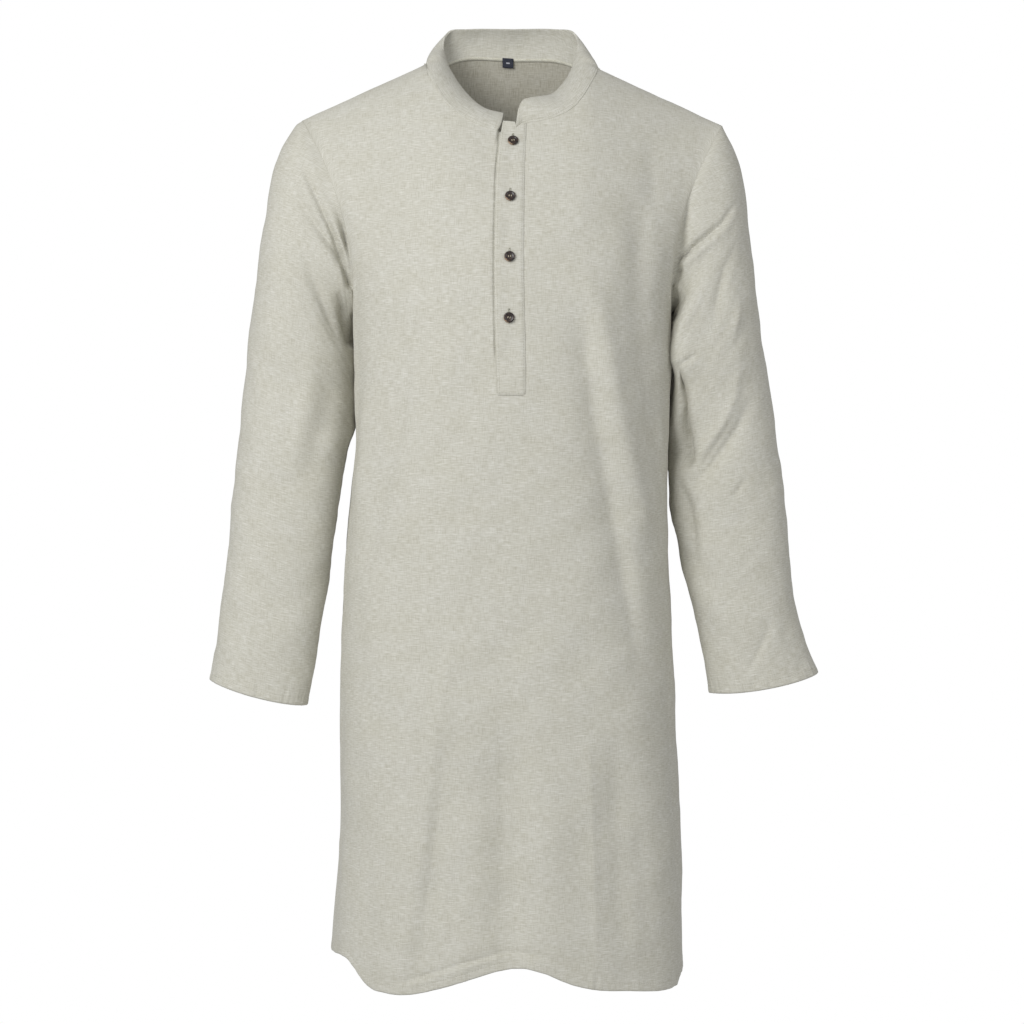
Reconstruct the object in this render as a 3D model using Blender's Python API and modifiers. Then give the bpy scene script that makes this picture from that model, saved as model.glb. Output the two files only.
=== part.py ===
"""A long-sleeved linen kurta with a band collar and a half placket, hollow and hanging in its worn shape.

Metres. X runs to the wearer's left, -Y to the front and +Z up. The origin is the middle of the neck opening,
level with the points where the shoulder seams meet the collar, because the wearer's shoulders carry it there.
Every cloth piece is an open surface, worked out from a table of sections, and a Solidify modifier gives it
its thickness inwards. Neighbours stop SEAM apart. "Turn" is the angle round the body in degrees: 0 front, 90
the wearer's left side, 180 back, 270 (or -90) the wearer's right side. "Swing" is the angle round a sleeve (0
armpit, 90 front, 180 shoulder tip, 270 back) or round the neck (0 back middle, above 0 the wearer's left).
"""

from collections import namedtuple
import math

import bmesh
import bpy
import numpy as np
from mathutils import Matrix, Vector

for leftover in list(bpy.data.objects):
    bpy.data.objects.remove(leftover, do_unlink=True)

# ---- cloth -------------------------------------------------------------------------------------------------
CLOTH = 0.0016            # wall that stands for one layer of linen with its turned edges
COLLAR_CLOTH = 0.0026     # the band is two layers and an interlining
SEAM = 0.0004             # left open between two pieces that are sewn together
COLLAR_SEAM = 0.0010      # the same under the band, whose straight facets cut across the neckline's curve
LAID = 0.0005             # left open between a panel and what lies on it
STRIP_SEAM = 0.0008       # left open between the neckline and the placket strips that stop below it
FACET_ROOM = 1.3          # an edge that turns across a neighbour's facets clears this much of the thickness

# ---- body --------------------------------------------------------------------------------------------------
ARMPIT_Z = -0.270
BODY_SQUARENESS = 2.45    # power of the body's oval: 2 is an ellipse
NECK_HALF = 0.0945        # half the width between the neck points
SHOULDER_TIP_X = 0.230
SHOULDER_SLOPE = 0.460    # drop of the shoulder seam for each metre outwards
SHOULDER_TILT = 0.0027    # the wearer's left shoulder hangs this much lower than the level, the right higher
NECK_DROP = 0.0805        # front neckline below the neck points
NECK_LIFT = 0.005         # the wearer's left half of the front neckline sits this much higher
NECK_LIFT_FADES = (0.35, 0.80)  # shares of NECK_HALF between which the lift fades
NECK_CURVE = 1.75         # power of the front neckline's curve
NECK_BACK = 0.065         # back neckline behind the neck points
NECK_SNAP = 0.0001        # a column that ends this near a neck point ends on the shoulder seam
PLACKET_ZONE = 0.020      # within this of the front middle the columns run straight up
FRONT_RIDGE_Z = -0.010    # where the front would crest if it were carried on past the neckline
BACK_RIDGE_Z = 0.075
FRONT_CREST = 1.65        # power of the curve from chest to shoulder: lower is a sharper shoulder
BACK_CREST = 1.9
ARMHOLE_REACH = 66        # turn, from the front or back middle, where the armhole begins to pull the cloth

BodySection = namedtuple("BodySection", "z right_side left_side front back")
BODY_SECTIONS = (
    BodySection(-0.270, 0.1715, 0.1735, 0.128, 0.120),
    BodySection(-0.340, 0.1705, 0.1710, 0.129, 0.119),
    BodySection(-0.400, 0.1700, 0.1700, 0.127, 0.116),
    BodySection(-0.460, 0.1750, 0.1700, 0.124, 0.114),
    BodySection(-0.540, 0.1815, 0.1715, 0.121, 0.114),
    BodySection(-0.640, 0.1870, 0.1755, 0.120, 0.118),
    BodySection(-0.740, 0.1880, 0.1800, 0.121, 0.122),
    BodySection(-0.840, 0.1880, 0.1845, 0.123, 0.126),
    BodySection(-0.940, 0.1960, 0.1860, 0.126, 0.130),
    BodySection(-1.005, 0.2000, 0.1865, 0.128, 0.132),
)

HemPoint = namedtuple("HemPoint", "turn z")
HEM_LINE = (
    HemPoint(-90, -0.9645), HemPoint(-70, -0.9645), HemPoint(-63, -0.9645), HemPoint(-58, -0.9675),
    HemPoint(-54, -0.9760), HemPoint(-50, -0.9865), HemPoint(-46, -0.9950), HemPoint(-40, -0.9985),
    HemPoint(-31, -0.9990), HemPoint(-22, -0.9920), HemPoint(-12, -0.9812), HemPoint(-4, -0.9730),
    HemPoint(3, -0.9700), HemPoint(11, -0.9755), HemPoint(18, -0.9860), HemPoint(26, -0.9930),
    HemPoint(40, -0.9970), HemPoint(54, -1.0000), HemPoint(66, -0.9985), HemPoint(76, -0.9950),
    HemPoint(86, -0.9880), HemPoint(96, -0.9730), HemPoint(112, -0.9645), HemPoint(132, -0.9790),
    HemPoint(152, -0.9990), HemPoint(180, -1.0020), HemPoint(212, -1.0000), HemPoint(236, -0.9930),
    HemPoint(252, -0.9730), HemPoint(270, -0.9645),
)
SEAM_TWIST_LEFT = 22.0    # the wearer's left side seam has swung this far to the back at the hem
SEAM_TWIST_RIGHT = 2.0
TWIST_FROM_Z = -0.420     # above this the side seams hang straight
TWIST_FULL_Z = -0.980

# A fold is a soft trough (depth below 0) or ridge (above 0) from one point of the cloth to another. "Lean"
# makes the side towards higher turns steeper (above 0) or softer (below 0).
Fold = namedtuple("Fold", "turn_a z_a turn_b z_b width depth lean")
BODY_GIRTH_RADIUS = 0.162  # turns a fold's angle into a length round the body
BODY_FOLDS = (
    Fold(-84, -0.40, -86, -0.62, 0.010, -0.0065, 0.0),     # the gathered side seam under the right sleeve
    Fold(88, -0.36, 86, -0.52, 0.012, -0.0050, 0.0),
    Fold(32, -0.29, 33, -0.40, 0.020, -0.0050, 0.3),       # the long fall from the left chest to the hip
    Fold(33, -0.38, 48, -0.60, 0.020, -0.0060, 0.3),
    Fold(38, -0.24, 58, -0.54, 0.018, 0.0045, 0.0),
    Fold(-38, -0.30, -56, -0.54, 0.026, -0.0045, 0.0),     # its softer match on the right
    Fold(-60, -0.36, -66, -0.47, 0.016, 0.0040, 0.0),
    Fold(-24, -0.75, -28, -0.94, 0.026, -0.0050, 0.0),     # falls above the hem
    Fold(0, -0.75, 2, -0.95, 0.024, -0.0045, 0.0),
    Fold(30, -0.79, 29, -0.93, 0.024, -0.0035, 0.0),
    Fold(-12, -0.80, -13, -0.96, 0.022, 0.0030, 0.0),
    Fold(64, -0.14, 74, -0.23, 0.014, -0.0050, 0.0),       # pulls at the armholes
    Fold(-64, -0.14, -74, -0.23, 0.014, -0.0050, 0.0),
    Fold(55, -0.15, 62, -0.23, 0.014, 0.0030, 0.0),
    Fold(116, -0.15, 108, -0.26, 0.016, -0.0050, 0.0),     # the back: armholes, blades and a soft middle fall
    Fold(-116 + 360, -0.15, -108 + 360, -0.26, 0.016, -0.0050, 0.0),
    Fold(140, -0.22, 128, -0.46, 0.026, -0.0050, 0.0),
    Fold(222, -0.24, 236, -0.50, 0.026, -0.0050, 0.0),
    Fold(172, -0.42, 166, -0.74, 0.028, -0.0045, 0.0),
    Fold(196, -0.60, 200, -0.95, 0.028, -0.0050, 0.0),
    Fold(148, -0.66, 146, -0.95, 0.026, -0.0045, 0.0),
    Fold(232, -0.66, 234, -0.92, 0.024, -0.0040, 0.0),
)

# ---- armholes and sleeves ----------------------------------------------------------------------------------
ARMHOLE_DEPTH = 0.047     # from the middle of the armhole to its front and back edges
ARMHOLE_BOW = 0.014       # the armhole seam bows in towards the chest by this

# Outer and inner are the sleeve's two edges seen from the front, measured out from the body's middle plane.
# Sag is how far the front and back of the ring hang below the line between them.
SleeveRing = namedtuple("SleeveRing", "outer_x outer_z inner_x inner_z middle_y half_y bow sag")
SLEEVE_RIGHT = (
    SleeveRing(0.2400, -0.0680, 0.1760, -0.2640, 0.000, 0.0480, 0.012, 0.000),
    SleeveRing(0.2540, -0.0930, 0.1800, -0.2615, 0.000, 0.0495, 0.009, 0.000),
    SleeveRing(0.2650, -0.1230, 0.1820, -0.2630, 0.001, 0.0510, 0.005, 0.000),
    SleeveRing(0.2705, -0.1570, 0.1815, -0.2690, 0.002, 0.0525, 0.002, 0.000),
    SleeveRing(0.2740, -0.1850, 0.1785, -0.2840, 0.003, 0.0540, 0.000, 0.000),
    SleeveRing(0.2795, -0.2270, 0.1760, -0.3140, 0.004, 0.0550, 0.000, 0.000),
    SleeveRing(0.2860, -0.2780, 0.1745, -0.3550, 0.006, 0.0550, 0.000, 0.000),
    SleeveRing(0.2925, -0.3330, 0.1745, -0.3950, 0.007, 0.0540, 0.000, 0.000),
    SleeveRing(0.2985, -0.3980, 0.1830, -0.4270, 0.006, 0.0520, 0.000, 0.000),
    SleeveRing(0.3055, -0.4600, 0.1900, -0.4820, 0.003, 0.0490, 0.000, 0.000),
    SleeveRing(0.3108, -0.5300, 0.1995, -0.5530, -0.002, 0.0450, 0.000, 0.000),
    SleeveRing(0.3190, -0.5990, 0.2100, -0.6230, -0.007, 0.0410, 0.000, 0.000),
    SleeveRing(0.3250, -0.6400, 0.2165, -0.6650, -0.010, 0.0385, 0.000, 0.002),
    SleeveRing(0.3285, -0.6710, 0.2240, -0.6985, -0.012, 0.0370, 0.000, 0.004),
)
SLEEVE_LEFT = (
    SleeveRing(0.2390, -0.0735, 0.1765, -0.2650, 0.000, 0.0480, 0.012, 0.000),
    SleeveRing(0.2470, -0.0920, 0.1805, -0.2620, 0.000, 0.0495, 0.009, 0.000),
    SleeveRing(0.2530, -0.1150, 0.1825, -0.2630, 0.001, 0.0510, 0.005, 0.000),
    SleeveRing(0.2565, -0.1470, 0.1820, -0.2690, 0.002, 0.0525, 0.002, 0.000),
    SleeveRing(0.2600, -0.1850, 0.1795, -0.2830, 0.003, 0.0540, 0.000, 0.000),
    SleeveRing(0.2655, -0.2290, 0.1770, -0.3130, 0.004, 0.0550, 0.000, 0.000),
    SleeveRing(0.2725, -0.2830, 0.1750, -0.3550, 0.006, 0.0550, 0.000, 0.000),
    SleeveRing(0.2800, -0.3370, 0.1735, -0.4000, 0.007, 0.0540, 0.000, 0.000),
    SleeveRing(0.2885, -0.3965, 0.1725, -0.4450, 0.006, 0.0520, 0.000, 0.000),
    SleeveRing(0.2960, -0.4530, 0.1735, -0.4850, 0.003, 0.0500, 0.000, 0.000),
    SleeveRing(0.3030, -0.5240, 0.1850, -0.5400, -0.002, 0.0460, 0.000, 0.000),
    SleeveRing(0.3090, -0.5850, 0.1995, -0.6030, -0.006, 0.0420, 0.000, 0.000),
    SleeveRing(0.3195, -0.6230, 0.2075, -0.6400, -0.009, 0.0390, 0.000, 0.002),
    SleeveRing(0.3325, -0.6640, 0.2165, -0.6850, -0.012, 0.0370, 0.000, 0.005),
)
SLEEVE_SQUARENESS = 2.15
SLEEVE_GIRTH_RADIUS = 0.056  # turns a fold's angle into a length round the sleeve
SLEEVE_RIGHT_FOLDS = (
    Fold(132, -0.105, 38, -0.205, 0.012, -0.0050, 0.0),    # pulls that run from the shoulder to the armpit
    Fold(88, -0.180, 28, -0.245, 0.010, -0.0050, 0.0),
    Fold(44, -0.250, 18, -0.320, 0.010, -0.0050, 0.0),
    Fold(120, -0.330, 50, -0.400, 0.014, -0.0030, 0.0),
    Fold(100, -0.430, 60, -0.480, 0.012, -0.0030, 0.0),
    Fold(110, -0.560, 70, -0.600, 0.012, -0.0020, 0.0),
    Fold(240, -0.110, 320, -0.210, 0.013, -0.0050, 0.0),   # the back of the sleeve
    Fold(262, -0.280, 325, -0.350, 0.013, -0.0045, 0.0),
    Fold(225, -0.400, 300, -0.450, 0.013, -0.0040, 0.0),
    Fold(300, -0.510, 235, -0.570, 0.012, -0.0030, 0.0),
)
SLEEVE_LEFT_FOLDS = (
    Fold(150, -0.132, 25, -0.215, 0.009, -0.0060, 0.0),    # the sharp pull from the shoulder to the armpit
    Fold(140, -0.253, 22, -0.325, 0.016, -0.0050, 0.0),
    Fold(140, -0.356, 30, -0.451, 0.018, -0.0045, 0.0),
    Fold(30, -0.240, 16, -0.290, 0.010, -0.0045, 0.0),
    Fold(110, -0.440, 70, -0.465, 0.010, -0.0025, 0.0),
    Fold(110, -0.600, 80, -0.650, 0.012, -0.0025, 0.0),
    Fold(235, -0.120, 325, -0.215, 0.013, -0.0050, 0.0),   # the back of the sleeve
    Fold(230, -0.270, 320, -0.340, 0.014, -0.0045, 0.0),
    Fold(238, -0.380, 310, -0.460, 0.014, -0.0040, 0.0),
    Fold(235, -0.540, 300, -0.580, 0.012, -0.0030, 0.0),
)

# ---- collar ------------------------------------------------------------------------------------------------
# The band's top edge. It leans in, more at the wearer's right end than at the left. Bulge is how far the band
# bows out between its two edges, which is most at the sides, where it stands on the shoulders.
CollarTop = namedtuple("CollarTop", "swing x y z bulge")
COLLAR_TOP = (
    CollarTop(-172.5, -0.0112, -0.0500, -0.0570, 0.0035),
    CollarTop(-162, -0.0205, -0.0470, -0.0545, 0.0040),
    CollarTop(-150, -0.0320, -0.0410, -0.0495, 0.0045),
    CollarTop(-135, -0.0465, -0.0290, -0.0355, 0.0045),
    CollarTop(-120, -0.0565, -0.0160, -0.0225, 0.0045),
    CollarTop(-105, -0.0650, -0.0020, -0.0070, 0.0055),
    CollarTop(-90, -0.0715, 0.0110, 0.0080, 0.0075),
    CollarTop(-75, -0.0755, 0.0280, 0.0270, 0.0090),
    CollarTop(-58, -0.0715, 0.0470, 0.0455, 0.0075),
    CollarTop(-35, -0.0480, 0.0550, 0.0500, 0.0050),
    CollarTop(0, 0.0000, 0.0575, 0.0505, 0.0045),
    CollarTop(35, 0.0475, 0.0550, 0.0500, 0.0050),
    CollarTop(58, 0.0690, 0.0470, 0.0450, 0.0065),
    CollarTop(75, 0.0720, 0.0280, 0.0270, 0.0075),
    CollarTop(90, 0.0680, 0.0110, 0.0080, 0.0065),
    CollarTop(105, 0.0625, -0.0020, -0.0070, 0.0055),
    CollarTop(120, 0.0550, -0.0160, -0.0210, 0.0045),
    CollarTop(135, 0.0440, -0.0300, -0.0330, 0.0045),
    CollarTop(150, 0.0320, -0.0470, -0.0385, 0.0045),
    CollarTop(162, 0.0210, -0.0560, -0.0415, 0.0040),
    CollarTop(176.5, 0.0070, -0.0610, -0.0455, 0.0035),
)

# ---- placket, buttons, label -------------------------------------------------------------------------------
PlacketEdge = namedtuple("PlacketEdge", "z right_x left_x")
PLACKET_EDGES = (
    PlacketEdge(-0.0700, -0.0102, 0.0155),
    PlacketEdge(-0.1150, -0.0152, 0.0138),
    PlacketEdge(-0.1800, -0.0175, 0.0127),
    PlacketEdge(-0.2420, -0.0180, 0.0126),
    PlacketEdge(-0.3110, -0.0167, 0.0142),
    PlacketEdge(-0.3660, -0.0148, 0.0147),
)
PLACKET_TOP_Z = -0.0695   # where the strip stands up between the ends of the collar
PLACKET_SLOPE = 0.22      # the strip's top edge drops this much for each metre to the wearer's left
BAND_END_X = 0.0040       # past this the strip stops under the band
SLOT_RIGHT_X = -0.0122    # the slit that the placket closes
SLOT_LEFT_X = 0.0110
SLOT_ROWS = 2             # rows of the front below the armpit that the slit reaches
PLACKET_ROWS = 3          # rows of the front below the armpit that the strip reaches
UNDER_SHIFT_X = 0.0010    # the under strip lies this much nearer the wearer's left
STRIP_CLOTH = 0.0012
STRIP_COLUMNS = 5

BUTTON_RADIUS = 0.0057
BUTTON_THICK = 0.0024
BUTTON_DISH = 0.0006      # the middle is sunk this far below the rim
BUTTON_RIM = 0.0012
BUTTON_SIDES = 18
HOLE_RADIUS = 0.0007
HOLE_SPREAD = 0.0013      # from the middle to each of the four holes

ButtonPlace = namedtuple("ButtonPlace", "name x z")
BUTTONS = (
    ButtonPlace("button_1", 0.0011, -0.0930),
    ButtonPlace("button_2", -0.0018, -0.1545),
    ButtonPlace("button_3", -0.0025, -0.2195),
    ButtonPlace("button_4", -0.0031, -0.2838),
)

LABEL_WIDE = 0.0140
LABEL_X = -0.0045
LABEL_TOP_Z = 0.0170
LABEL_DEEP = 0.0115
LABEL_CLOTH = 0.0008

# ---- colours, linear -----------------------------------------------------------------------------------
LINEN = (0.590, 0.585, 0.520)
LINEN_ROUGHNESS = 0.85
HORN = (0.030, 0.018, 0.012)
HORN_ROUGHNESS = 0.35
LABEL_NAVY = (0.018, 0.022, 0.042)

# ---- how finely the walls are divided ----------------------------------------------------------------------
SHOULDER_COLUMNS = 8      # each side, from the armhole to the neck
NECK_COLUMNS = 4          # each side, from the neck point to the slit
HEM_ROWS = 22             # hem to armpit
CHEST_ROWS = 11           # armpit to shoulder, and half round a sleeve
SLEEVE_ROWS = 25
COLLAR_COLUMNS = 40
COLLAR_ROWS = 3


def spline(at, knots, values):
    """Smooth curve through a table's column."""
    knots, values = np.asarray(knots, float), np.asarray(values, float)
    slopes = np.gradient(values, knots)
    i = np.clip(np.searchsorted(knots, at, side="right") - 1, 0, len(knots) - 2)
    span = knots[i + 1] - knots[i]
    t = np.clip((at - knots[i]) / span, 0, 1)
    return (
        (2 * t**3 - 3 * t**2 + 1) * values[i]
        + (t**3 - 2 * t**2 + t) * span * slopes[i]
        + (3 * t**2 - 2 * t**3) * values[i + 1]
        + (t**3 - t**2) * span * slopes[i + 1]
    )


def ease(value, low, high):
    """0 below low, 1 above high, and smooth between."""
    t = np.clip((np.asarray(value, float) - low) / (high - low), 0, 1)
    return t * t * (3 - 2 * t)


def oval(degrees, power):
    """Sine and cosine parts of a rounded square whose squareness is its power."""
    sine, cosine = np.sin(np.radians(degrees)), np.cos(np.radians(degrees))
    reach = (np.abs(sine) ** power + np.abs(cosine) ** power) ** (-1 / power)
    return sine * reach, cosine * reach


def fold_depth(folds, around, height, girth_radius):
    """How far the folds move each point of the cloth along its normal."""
    depth = np.zeros(np.broadcast(around, height).shape)
    for fold in folds:
        start = np.array([math.radians(fold.turn_a) * girth_radius, fold.z_a])
        end = np.array([math.radians(fold.turn_b) * girth_radius, fold.z_b])
        along = end - start
        length = np.linalg.norm(along)
        across = np.array([along[1], -along[0]]) / length
        across *= np.sign(across[0]) or 1.0
        u = np.radians(around) * girth_radius - start[0]
        v = height - start[1]
        t = (u * along[0] + v * along[1]) / length**2
        away = u * across[0] + v * across[1]
        width = fold.width * np.where(away > 0, 1 - fold.lean, 1 + fold.lean)
        fade = ease(t, -0.25, 0.3) * (1 - ease(t, 0.7, 1.25))
        depth = depth + fold.depth * fade * np.exp(-((away / width) ** 2))
    return depth


def grid_normals(points, closed=False):
    """Unit normals of a grid of points, rows by columns."""
    rows = np.gradient(points, axis=0)
    if closed:
        columns = np.roll(points, -1, axis=1) - np.roll(points, 1, axis=1)
    else:
        columns = np.gradient(points, axis=1)
    normals = np.cross(columns, rows)
    return normals / np.maximum(np.linalg.norm(normals, axis=2, keepdims=True), 1e-12)


# ---- the body's surface ------------------------------------------------------------------------------------
def side_twist(z):
    """How far the two side seams have turned at this height, in degrees: wearer's left, wearer's right."""
    share = ease(-np.asarray(z, float), -TWIST_FROM_Z, -TWIST_FULL_Z)
    return SEAM_TWIST_LEFT * share, SEAM_TWIST_RIGHT * share


def turned(turn, z):
    """The turn at which a column of cloth hangs at this height, once the side seams have swung round."""
    left, right = side_twist(z)
    near_left = np.maximum(0, 1 - np.abs(turn - 90) / 90) ** 2
    near_right = np.maximum(0, 1 - np.minimum(np.abs(turn + 90), np.abs(turn - 270)) / 90) ** 2
    return turn + left * near_left + right * near_right


def body_ring(turn, z):
    """A point on the body's oval section."""
    knots = [-section.z for section in BODY_SECTIONS]
    column = {
        name: spline(-np.asarray(z, float), knots, [getattr(section, name) for section in BODY_SECTIONS])
        for name in ("right_side", "left_side", "front", "back")
    }
    sine, cosine = oval(turn, BODY_SQUARENESS)
    x = sine * np.where(sine > 0, column["left_side"], column["right_side"])
    y = -cosine * np.where(cosine > 0, column["front"], column["back"])
    return np.stack(np.broadcast_arrays(x, y, z), axis=-1)


def hem_height(turn):
    return spline(turn, [point.turn for point in HEM_LINE], [point.z for point in HEM_LINE])


def shoulder_point(turn, front):
    """Where a column of cloth would reach the shoulder line, or the ridge that the neck opening cuts away."""
    low = body_ring(turn, ARMPIT_Z)
    half = abs(body_ring(90.0 if turn > 0 and turn < 180 else -90.0, ARMPIT_Z)[0])
    flare = 1 + (SHOULDER_TIP_X / half - 1) * float(ease(abs(low[0]), PLACKET_ZONE, half))
    x = low[0] * flare
    share = min(1.0, abs(x) / NECK_HALF)
    if abs(x) >= NECK_HALF:
        z = -SHOULDER_SLOPE * (abs(x) - NECK_HALF)
    elif front:
        slope = -SHOULDER_SLOPE * NECK_HALF
        z = FRONT_RIDGE_Z * (2 * share**3 - 3 * share**2 + 1) + slope * (share**3 - share**2)
    else:
        z = BACK_RIDGE_Z * (1 - share**3)
    return np.array([x, 0.0, z - SHOULDER_TILT * math.copysign(share, x)])


def armhole_point(share, side, front):
    """The armhole seam: share 0 is the armpit and 1 the shoulder tip, side is 1 for the wearer's left."""
    half = abs(body_ring(90.0 * side, ARMPIT_Z)[0])
    tip_z = -SHOULDER_SLOPE * (SHOULDER_TIP_X - NECK_HALF) - side * SHOULDER_TILT
    x = half + (SHOULDER_TIP_X - half) * share - ARMHOLE_BOW * 4 * share * (1 - share)
    y = ARMHOLE_DEPTH * np.sqrt(np.maximum(0, 1 - (2 * share - 1) ** 2)) * (-1 if front else 1)
    return np.stack([side * x, y, ARMPIT_Z + (tip_z - ARMPIT_Z) * share], axis=-1)


def crest_share(climb, power):
    """How far up and how far in a column has come, for a climb of 0 at the armpit to 1 at the shoulder."""
    return oval(90 * np.asarray(climb, float), power)


def upper_point(turn, climb, front):
    """A point above the armpit, on a column of cloth."""
    low, top = body_ring(turn, ARMPIT_Z), shoulder_point(turn, front)
    up, out = crest_share(climb, FRONT_CREST if front else BACK_CREST)
    point = top + (low - top) * out[..., None]
    point[..., 2] = low[2] + (top[2] - low[2]) * up
    from_middle = abs(turn) if front else abs(180 - turn)
    pull = float(ease(from_middle, ARMHOLE_REACH, 90))
    if pull > 0:
        side = 1 if 0 < turn < 180 else -1
        edge_low, edge_top = body_ring(90.0 * side, ARMPIT_Z), np.array([side * SHOULDER_TIP_X, 0.0, 0.0])
        edge = edge_top[:2] + (edge_low[:2] - edge_top[:2]) * out[..., None]
        point[..., :2] += pull * (armhole_point(up, side, front)[..., :2] - edge)
    return point


def neck_climb(turn, front):
    """The climb at which a column meets the neckline."""
    top = shoulder_point(turn, front)
    if abs(top[0]) > NECK_HALF - NECK_SNAP:
        return 1.0
    climbs = np.linspace(0.3, 1.0, 1401)
    points = upper_point(turn, climbs, front)
    share = np.minimum(1, np.abs(points[:, 0]) / NECK_HALF)
    if front:
        lift = NECK_LIFT * (1 - ease(share, *NECK_LIFT_FADES)) * (turn > 0)
        past = points[:, 2] + NECK_DROP * (1 - share**NECK_CURVE) ** (1 / NECK_CURVE) - lift
    else:
        past = NECK_BACK * np.sqrt(1 - share**2) - points[:, 1]
    return float(climbs[int(np.argmax(past >= 0))])


def neck_turn(side):
    """Turn from the front middle of the column that ends at a neck point; side is 1 for the wearer's left."""
    turns = np.linspace(1, 60, 1181)
    reach = [abs(shoulder_point(side * turn, True)[0]) for turn in turns]
    return float(np.interp(NECK_HALF, reach, turns))


def edge_climbs():
    """Climbs of the rows at an armhole, spaced evenly round the sleeve that is sewn there."""
    wanted = (1 - np.cos(np.linspace(0, math.pi, CHEST_ROWS + 1))) / 2
    climbs = np.linspace(0, 1, 2001)
    return {
        front: np.interp(wanted, crest_share(climbs, FRONT_CREST if front else BACK_CREST)[0], climbs)
        for front in (True, False)
    }


def panel_turns(front):
    """Columns of a panel, from the wearer's right to left on the front and back again on the back."""
    sides = {}
    for side, slot_x in ((-1, -SLOT_RIGHT_X), (1, SLOT_LEFT_X)):
        neck = neck_turn(side)
        outer = np.linspace(90, neck, SHOULDER_COLUMNS + 1)
        # The neck's columns crowd towards the neck points, where the neckline is steep.
        crowded = np.sin(np.linspace(math.pi / 2, 0, NECK_COLUMNS + 1 if front else NECK_COLUMNS + 2))
        turns = np.linspace(0, 20, 801)
        middle = float(np.interp(slot_x, body_ring(turns, ARMPIT_Z)[:, 0], turns)) if front else 0.0
        sides[side] = np.concatenate([outer, middle + (neck - middle) * crowded[1:]])
    if front:
        return np.concatenate([-sides[-1], [0.0], sides[1][::-1]])
    return 180 - np.concatenate([sides[1], -sides[-1][-2::-1]])


def panel_grid(front):
    """The outer face of the front or the back, as rows from the hem up, with each point's turn."""
    turns = panel_turns(front)
    edge = edge_climbs()[front]
    even = np.linspace(0, 1, CHEST_ROWS + 1)
    points, around = [], []
    for turn in turns:
        hem = hem_height(float(turned(turn, -1.0)))
        heights = hem + (ARMPIT_Z - hem) * np.linspace(0, 1, HEM_ROWS + 1)
        hanging = turned(turn, heights)
        lower = body_ring(hanging, heights)
        from_middle = abs(turn) if front else abs(180 - turn)
        share = float(ease(from_middle, 30, 90))
        climbs = (edge * share + even * (1 - share)) * neck_climb(turn, front)
        upper = upper_point(turn, climbs[1:], front)
        points.append(np.concatenate([lower, upper]))
        around.append(np.concatenate([hanging, np.full(CHEST_ROWS, turn)]))
    points, around = np.stack(points, axis=1), np.stack(around, axis=1)
    depth = fold_depth(BODY_FOLDS, around, points[..., 2], BODY_GIRTH_RADIUS)
    return points + grid_normals(points) * depth[..., None]


# ---- the sleeves' surface ----------------------------------------------------------------------------------
def sleeve_grid(side, rings, folds):
    """The outer face of a sleeve, as rings from the armhole to the cuff."""
    sweep = np.linspace(0, 180, CHEST_ROWS + 1)
    swing = np.concatenate([sweep, 360 - sweep[-2:0:-1]])  # 0 armpit, 90 front, 180 shoulder tip, 270 back
    share = (1 - np.cos(np.radians(swing))) / 2
    first = np.where(
        (swing <= 180)[:, None],
        armhole_point(share, side, True),
        armhole_point(share, side, False),
    )
    place = np.concatenate([[0.0], np.linspace(0.5, len(rings), SLEEVE_ROWS)])
    tip = first[CHEST_ROWS]
    pit = first[0]
    start = SleeveRing(abs(tip[0]), tip[2], abs(pit[0]), pit[2], 0.0, ARMHOLE_DEPTH, ARMHOLE_BOW, 0.0)
    table = np.array([start, *rings])
    knots = np.arange(len(table))
    outer_x, outer_z, inner_x, inner_z, middle_y, half_y, bow, sag = (
        spline(place, knots, table[:, k])[:, None] for k in range(table.shape[1])
    )
    sine, cosine = oval(swing, SLEEVE_SQUARENESS)
    round_share = (1 - cosine) / 2
    x = inner_x + (outer_x - inner_x) * round_share - bow * sine**2
    y = middle_y - half_y * sine
    z = inner_z + (outer_z - inner_z) * round_share - sag * sine**2
    points = np.stack([side * x, y, z], axis=-1)
    points[0] = first
    depth = fold_depth(folds, swing[None, :], points[..., 2], SLEEVE_GIRTH_RADIUS)
    depth = depth * ease(place, 0.0, 2.0)[:, None]
    return points - side * grid_normals(points, closed=True) * depth[..., None]


# ---- objects -----------------------------------------------------------------------------------------------
kurta = bpy.data.collections.new("kurta")
cutters = bpy.data.collections.new("cutters")
for group in (kurta, cutters):
    bpy.context.scene.collection.children.link(group)


def finish(name, colour, roughness):
    material = bpy.data.materials.new(name)
    material.use_nodes = True
    shader = material.node_tree.nodes["Principled BSDF"]
    shader.inputs["Base Color"].default_value = (*colour, 1.0)
    shader.inputs["Roughness"].default_value = roughness
    shader.inputs["Metallic"].default_value = 0.0
    material.diffuse_color = (*colour, 1.0)
    return material


def cloth_object(name, grid, thickness, colour, closed=False, left_out=()):
    """A sheet through a grid of points, with its thickness inwards. left_out holds the cells cut away."""
    rows, columns = grid.shape[:2]
    sheet = bmesh.new()
    verts = [[sheet.verts.new(point) for point in row] for row in grid]
    for r in range(rows - 1):
        for c in range(columns if closed else columns - 1):
            if (r, c) not in left_out:
                n = (c + 1) % columns
                sheet.faces.new([verts[r][c], verts[r][n], verts[r + 1][n], verts[r + 1][c]])
    bmesh.ops.delete(sheet, geom=[vert for vert in sheet.verts if not vert.link_faces], context="VERTS")
    mesh = bpy.data.meshes.new(name)
    sheet.to_mesh(mesh)
    sheet.free()
    mesh.shade_smooth()
    mesh.materials.append(finish(name, colour, LINEN_ROUGHNESS))
    made = bpy.data.objects.new(name, mesh)
    kurta.objects.link(made)
    wall = made.modifiers.new("thickness", "SOLIDIFY")
    wall.thickness = thickness
    wall.offset = -1
    return made


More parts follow.
